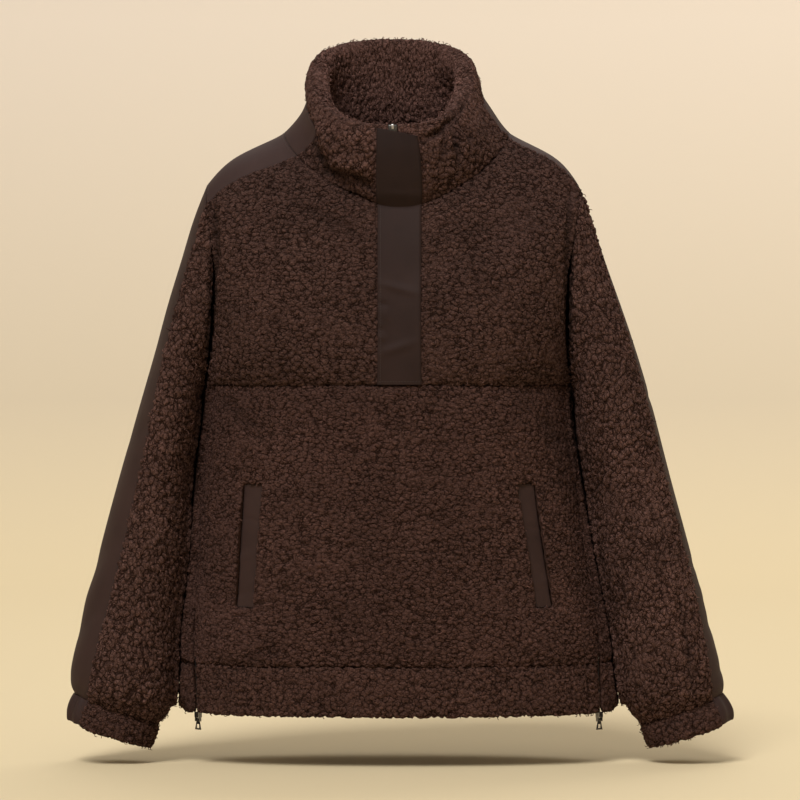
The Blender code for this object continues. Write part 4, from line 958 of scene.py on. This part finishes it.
def seamSides(node, axis, inset):
    # the outer face's edge as runs between its corners, moved inwards
    bm = bmesh.new()
    bm.from_mesh(nodes[node].data)
    bmesh.ops.remove_doubles(bm, verts=bm.verts, dist=1e-5)
    bm.faces.ensure_lookup_table()
    centres = np.array([f.calc_center_median()[:] for f in bm.faces])
    facing = facingOut(centres, np.array([f.normal[:] for f in bm.faces]), axis)
    outer = {f for f, o in zip(bm.faces, facing) if o > 0.35}
    chain = {}
    for edge in bm.edges:
        held = [f for f in edge.link_faces if f in outer]
        if len(held) == 1 and edge.calc_face_angle(0) > math.radians(40):
            face = held[0]
            a, b = edge.verts
            inward = face.normal.cross(b.co - a.co).normalized()
            if inward.dot(face.calc_center_median() - (a.co + b.co) / 2) < 0:
                inward = -inward
            for one, other in ((a, b), (b, a)):
                chain.setdefault(one, []).append((other, inward))
    runs, seen = [], set()
    for first in chain:
        if first in seen:
            continue
        loop, at, before = [first], first, None
        while True:
            seen.add(at)
            ahead = [v for v, _ in chain[at] if v is not before]
            if not ahead or ahead[0] is first or ahead[0] in seen:
                break
            before, at = at, ahead[0]
            loop.append(at)
        if len(loop) < 4:
            continue
        co = np.array([v.co[:] for v in loop])
        inwards = np.array([(sum((w for _, w in chain[v]), Vector()) / len(chain[v]))[:] for v in loop])
        step = unit(np.roll(co, -1, axis=0) - co)
        turn = (step * np.roll(step, 1, axis=0)).sum(axis=1)
        corners = [k for k in range(len(loop)) if turn[k] < 0.75] or [0]
        for k, start in enumerate(corners):
            end = corners[(k + 1) % len(corners)]
            many = (end - start) % len(loop) or len(loop)
            picks = [(start + i) % len(loop) for i in range(many + 1)]
            run = co[picks]
            push = inwards[picks]
            if many > 1:
                push[0], push[-1] = push[1], push[-2]
            runs.append(run + push * inset * mm)
    bm.free()
    return runs


def chosenSides(runs, sides):
    if sides == "long":
        longest = max(reachAlong(run)[-1] for run in runs)
        return [run for run in runs if reachAlong(run)[-1] > 0.5 * longest]
    if sides == "left bottom":
        tall = [run for run in runs if np.ptp(run[:, 2]) > 0.15]
        flat = [run for run in runs if np.ptp(run[:, 2]) < 0.05]
        return [min(tall, key=lambda run: run[:, 0].mean()), min(flat, key=lambda run: run[:, 2].mean())]
    return runs


def evenSteps(run, pitch):
    # points at an even pitch along a smooth curve through the run
    count = len(run)
    dense = []
    for k in range(count - 1):
        p0, p1, p2, p3 = (run[min(max(k + j, 0), count - 1)] for j in (-1, 0, 1, 2))
        for t in np.linspace(0, 1, 12, endpoint=False):
            dense.append(0.5 * (2 * p1 + (p2 - p0) * t + (2 * p0 - 5 * p1 + 4 * p2 - p3) * t * t
                                + (3 * p1 - p0 - 3 * p2 + p3) * t ** 3))
    dense.append(run[-1])
    dense = np.array(dense)
    reach = reachAlong(dense)
    return between(np.arange(pitch, reach[-1] - pitch * 0.5, pitch), reach, dense)


def makeStitches(node, inset, sides):
    surface = BVHTree.FromObject(clothObjects[node], bpy.context.evaluated_depsgraph_get())
    verts, faces = [], []
    long, thick = stitching["length"] / 2 * mm, stitching["thick"] * mm
    for run in chosenSides(seamSides(node, axisOf(node), inset), sides):
        places = evenSteps(run, stitching["pitch"] * mm)
        if len(places) < 2:
            continue
        ways = np.gradient(places, axis=0)
        for place, way in zip(places, ways):
            spot, up, _, _ = surface.find_nearest(Vector(place), stitching["reach"] * mm)
            if spot is None:
                continue
            ahead = Vector(way).normalized()
            side = up.cross(ahead).normalized()
            ahead = side.cross(up)
            centre = spot - up * stitching["sink"] * mm
            start = len(verts)
            for s, size, lift in stitching["shape"]:
                middle = centre + ahead * long * s + up * thick * lift * 0.6
                if size == 0:
                    verts.append(middle[:])
                else:
                    for corner in range(4):
                        angle = math.tau * corner / 4
                        spoke = side * math.cos(angle) + up * math.sin(angle)
                        verts.append((middle + spoke * thick * 0.6)[:])
            ring1, ring2 = [start + 1 + k for k in range(4)], [start + 5 + k for k in range(4)]
            for k in range(4):
                n = (k + 1) % 4
                faces += [(start, ring1[n], ring1[k]), (ring1[k], ring1[n], ring2[n], ring2[k]),
                          (ring2[k], ring2[n], start + 9)]
    obj = solidObject(f"stitches_{node}", verts, faces)
    obj.data.shade_smooth()
    obj.data.materials.append(threadMaterial())
    onGarment(obj)
    return len(faces)


@cache
def threadMaterial():
    mat, tree, shader = newMaterial("thread", 0.6)
    place = addNode(tree, "ShaderNodeTexCoord").outputs["Object"]
    twist = noise(tree, place, 1500.0, 2.0)
    color = stitching["color"]
    tree.links.new(mixColor(tree, twist, dimmed(color, 0.6), color), shader.inputs["Base Color"])
    tree.links.new(bumped(tree, twist, 0.4, 0.1), shader.inputs["Normal"])
    return mat


print("stitches", {node: makeStitches(node, *row) for node, row in stitching["rows"].items()})


# Zips: two tapes and the teeth of a coil in place of each plain chain

zipLook = {
    "color": (0.022, 0.017, 0.015, 1), "roughness": 0.5, "pitch": 1.9, "tooth": (2.2, 1.15, 1.5),
    "toothRings": ((-1, 1.0), (0.35, 1.0), (1, 0.55)), "toothLift": 1.6, "offset": 0.85, "ends": 0.8,
    "tapeInner": 0.3, "tapeHalf": 3.0, "tapeLift": 0.15, "tapeThick": 0.5,
}
metalLook = {"color": (0.27, 0.265, 0.26), "roughness": 0.30}


def metalMaterial(name, paintedLightScale=1.0):
    rough = metalLook["roughness"]
    mat, tree, shader = newMaterial(name, rough)
    place = addNode(tree, "ShaderNodeTexCoord").outputs["Object"]
    grain = noise(tree, place, 900.0, 3.0)
    low, high = (tuple(min(c * paintedLightScale * k, 1) for c in metalLook["color"]) + (1,) for k in (0.7, 1.0))
    tree.links.new(mixColor(tree, grain, low, high), shader.inputs["Base Color"])
    worn = mapTo(tree, grain, 0.3, 0.7, rough - 0.06, rough + 0.12)
    tree.links.new(worn, shader.inputs["Roughness"])
    shader.inputs["Metallic"].default_value = 1.0
    return mat


def zipMaterial(name):
    mat, tree, shader = newMaterial(name, zipLook["roughness"])
    place = addNode(tree, "ShaderNodeTexCoord").outputs["Object"]
    ribs = addNode(tree, "ShaderNodeTexWave", {"Vector": place, "Scale": 500.0}, bands_direction="Z")
    color = zipLook["color"]
    mixed = mixColor(tree, ribs.outputs["Fac"], dimmed(color, 0.5), color)
    tree.links.new(mixed, shader.inputs["Base Color"])
    tree.links.new(bumped(tree, ribs.outputs["Fac"], 0.4, 0.2), shader.inputs["Normal"])
    return mat


def chainRings(node):
    # the four corners of the chain at each of its steps, from the lowest
    co = np.unique(np.round(pointsOf(nodes[node].data), 6), axis=0)
    co = co[np.argsort(co[:, 2])]
    rings = co[: len(co) // 4 * 4].reshape(-1, 4, 3)
    steps = []
    for ring in rings:
        away = np.linalg.norm(ring[:, :2] - np.array(bodyAxis[0][:2]), axis=1)
        pairs = np.split(ring[np.argsort(away)], 2)
        steps.append([pair[np.argsort(pair[:, 0])] for pair in pairs])
    return steps


def tube(start, rings):
    # a closed tube through rings of four points each
    last = start + 4 * (rings - 1)
    sides = [
        (base + c, base + n, base + 4 + n, base + 4 + c)
        for base in range(start, last, 4) for c, n in ((0, 1), (1, 2), (2, 3), (3, 0))
    ]
    return sides + [(start + 3, start + 2, start + 1, start), (last, last + 1, last + 2, last + 3)]


def makeZip(node):
    steps = chainRings(node)
    low = np.array([back.mean(axis=0) for back, _ in steps])
    up = unit(np.array([front.mean(axis=0) - back.mean(axis=0) for back, front in steps]))
    across = unit(np.array([back[1] - back[0] for back, _ in steps]))
    reach = reachAlong(low)
    ends, pitch = zipLook["ends"] * mm, zipLook["pitch"]
    places = np.arange(ends, reach[-1] - ends, pitch * mm)
    centre, rise, side = (between(places, reach, values) for values in (low, up, across))
    ahead = np.cross(side, rise)
    verts, faces = [], []
    wide, long, tall = (v / 2 * mm for v in zipLook["tooth"])
    for k in range(len(places)):
        for hand in (-1, 1):
            middle = centre[k] + side[k] * hand * zipLook["offset"] * mm + rise[k] * zipLook["toothLift"] * mm
            middle = middle + ahead[k] * (0.5 * pitch * mm if hand > 0 else 0)
            start = len(verts)
            for lift, size in zipLook["toothRings"]:
                for dx, dy in ((-1, -1), (1, -1), (1, 1), (-1, 1)):
                    spot = middle + side[k] * dx * wide * size + ahead[k] * dy * long * size
                    verts.append(spot + rise[k] * lift * tall)
            faces += tube(start, 3)
    inner, half, bottom = (zipLook[key] for key in ("tapeInner", "tapeHalf", "tapeLift"))
    top = bottom + zipLook["tapeThick"]
    for hand in (-1, 1):
        start = len(verts)
        for k in range(len(steps)):
            for reachOut, lift in ((inner, bottom), (half, bottom), (half, top), (inner, top)):
                verts.append(low[k] + across[k] * hand * reachOut * mm + up[k] * lift * mm)
        faces += tube(start, len(steps))
    obj = solidObject(f"coil_{node}", [tuple(v) for v in verts], faces)
    obj.data.materials.append(zipMaterial(f"coil_{node}"))
    standIn(obj, node)
    return triangleCount(obj)


print("zips", {node: makeZip(node) for node in ("front_zip", "side_zip_left", "side_zip_right")})

# The front slider: two plates, the bridge that holds the pull, and the neck between the plates
sliderParts = [
    {"size": (0.96, 0.22, 0.86), "at": (0, -0.36, -0.04), "round": 1.0},
    {"size": (0.92, 0.20, 0.86), "at": (0, 0.38, -0.04), "round": 1.0},
    {"size": (0.24, 0.60, 0.30), "at": (0, 0.0, 0.30), "round": 0.5},
    {"size": (0.26, 0.14, 0.46), "at": (0, -0.43, 0.18), "round": 0.5},
    {"size": (0.14, 0.60, 0.60), "at": (-0.40, 0.0, -0.16), "round": 0.5},
    {"size": (0.14, 0.60, 0.60), "at": (0.40, 0.0, -0.16), "round": 0.5},
]
bridgeParts = (2, 3)
# painted light: one metal, painted brighter on the bridge as a glint and darker on the plates
sliderPaintedLight = {"metal": 0.42, "bridge": 2.2}


def makeSlider(node):
    points = pointsOf(nodes[node].data)
    low, high = points.min(axis=0), points.max(axis=0)
    middle, span = (low + high) / 2, high - low
    bm = bmesh.new()
    for number, part in enumerate(sliderParts):
        before = set(bm.faces)
        made = bmesh.ops.create_cube(bm, size=1.0)["verts"]
        at, size = part["at"], part["size"]
        for vert in made:
            vert.co = Vector([middle[k] + span[k] * (at[k] + vert.co[k] * size[k]) for k in range(3)])
        edges = list({edge for vert in made for edge in vert.link_edges})
        bmesh.ops.bevel(bm, geom=edges, offset=part["round"] * mm, segments=3, affect="EDGES", profile=0.5)
        for face in set(bm.faces) - before:
            face.material_index = int(number in bridgeParts)
    for vert in bm.verts:
        for k in range(3):
            vert.co[k] = min(max(vert.co[k], low[k]), high[k])
    mesh = bpy.data.meshes.new(f"metal_{node}")
    bm.to_mesh(mesh)
    bm.free()
    mesh.shade_smooth()
    for part, paintedLightScale in sliderPaintedLight.items():
        mesh.materials.append(metalMaterial(f"{part}_{node}", paintedLightScale))
    standIn(linkObject(f"metal_{node}", mesh), node)


makeSlider("front_slider")
for node, obj in nodes.items():
    if node != "front_slider" and ("slider" in node or "pull" in node):
        onlyMaterial(obj.data, metalMaterial(f"metal_{node}"))
print("metal finished")

pieces = [obj for obj in bpy.context.scene.objects if obj.type == "MESH" and not obj.hide_render]
print("triangles in all", sum(triangleCount(obj) for obj in pieces if obj.name != "studioSweep"))
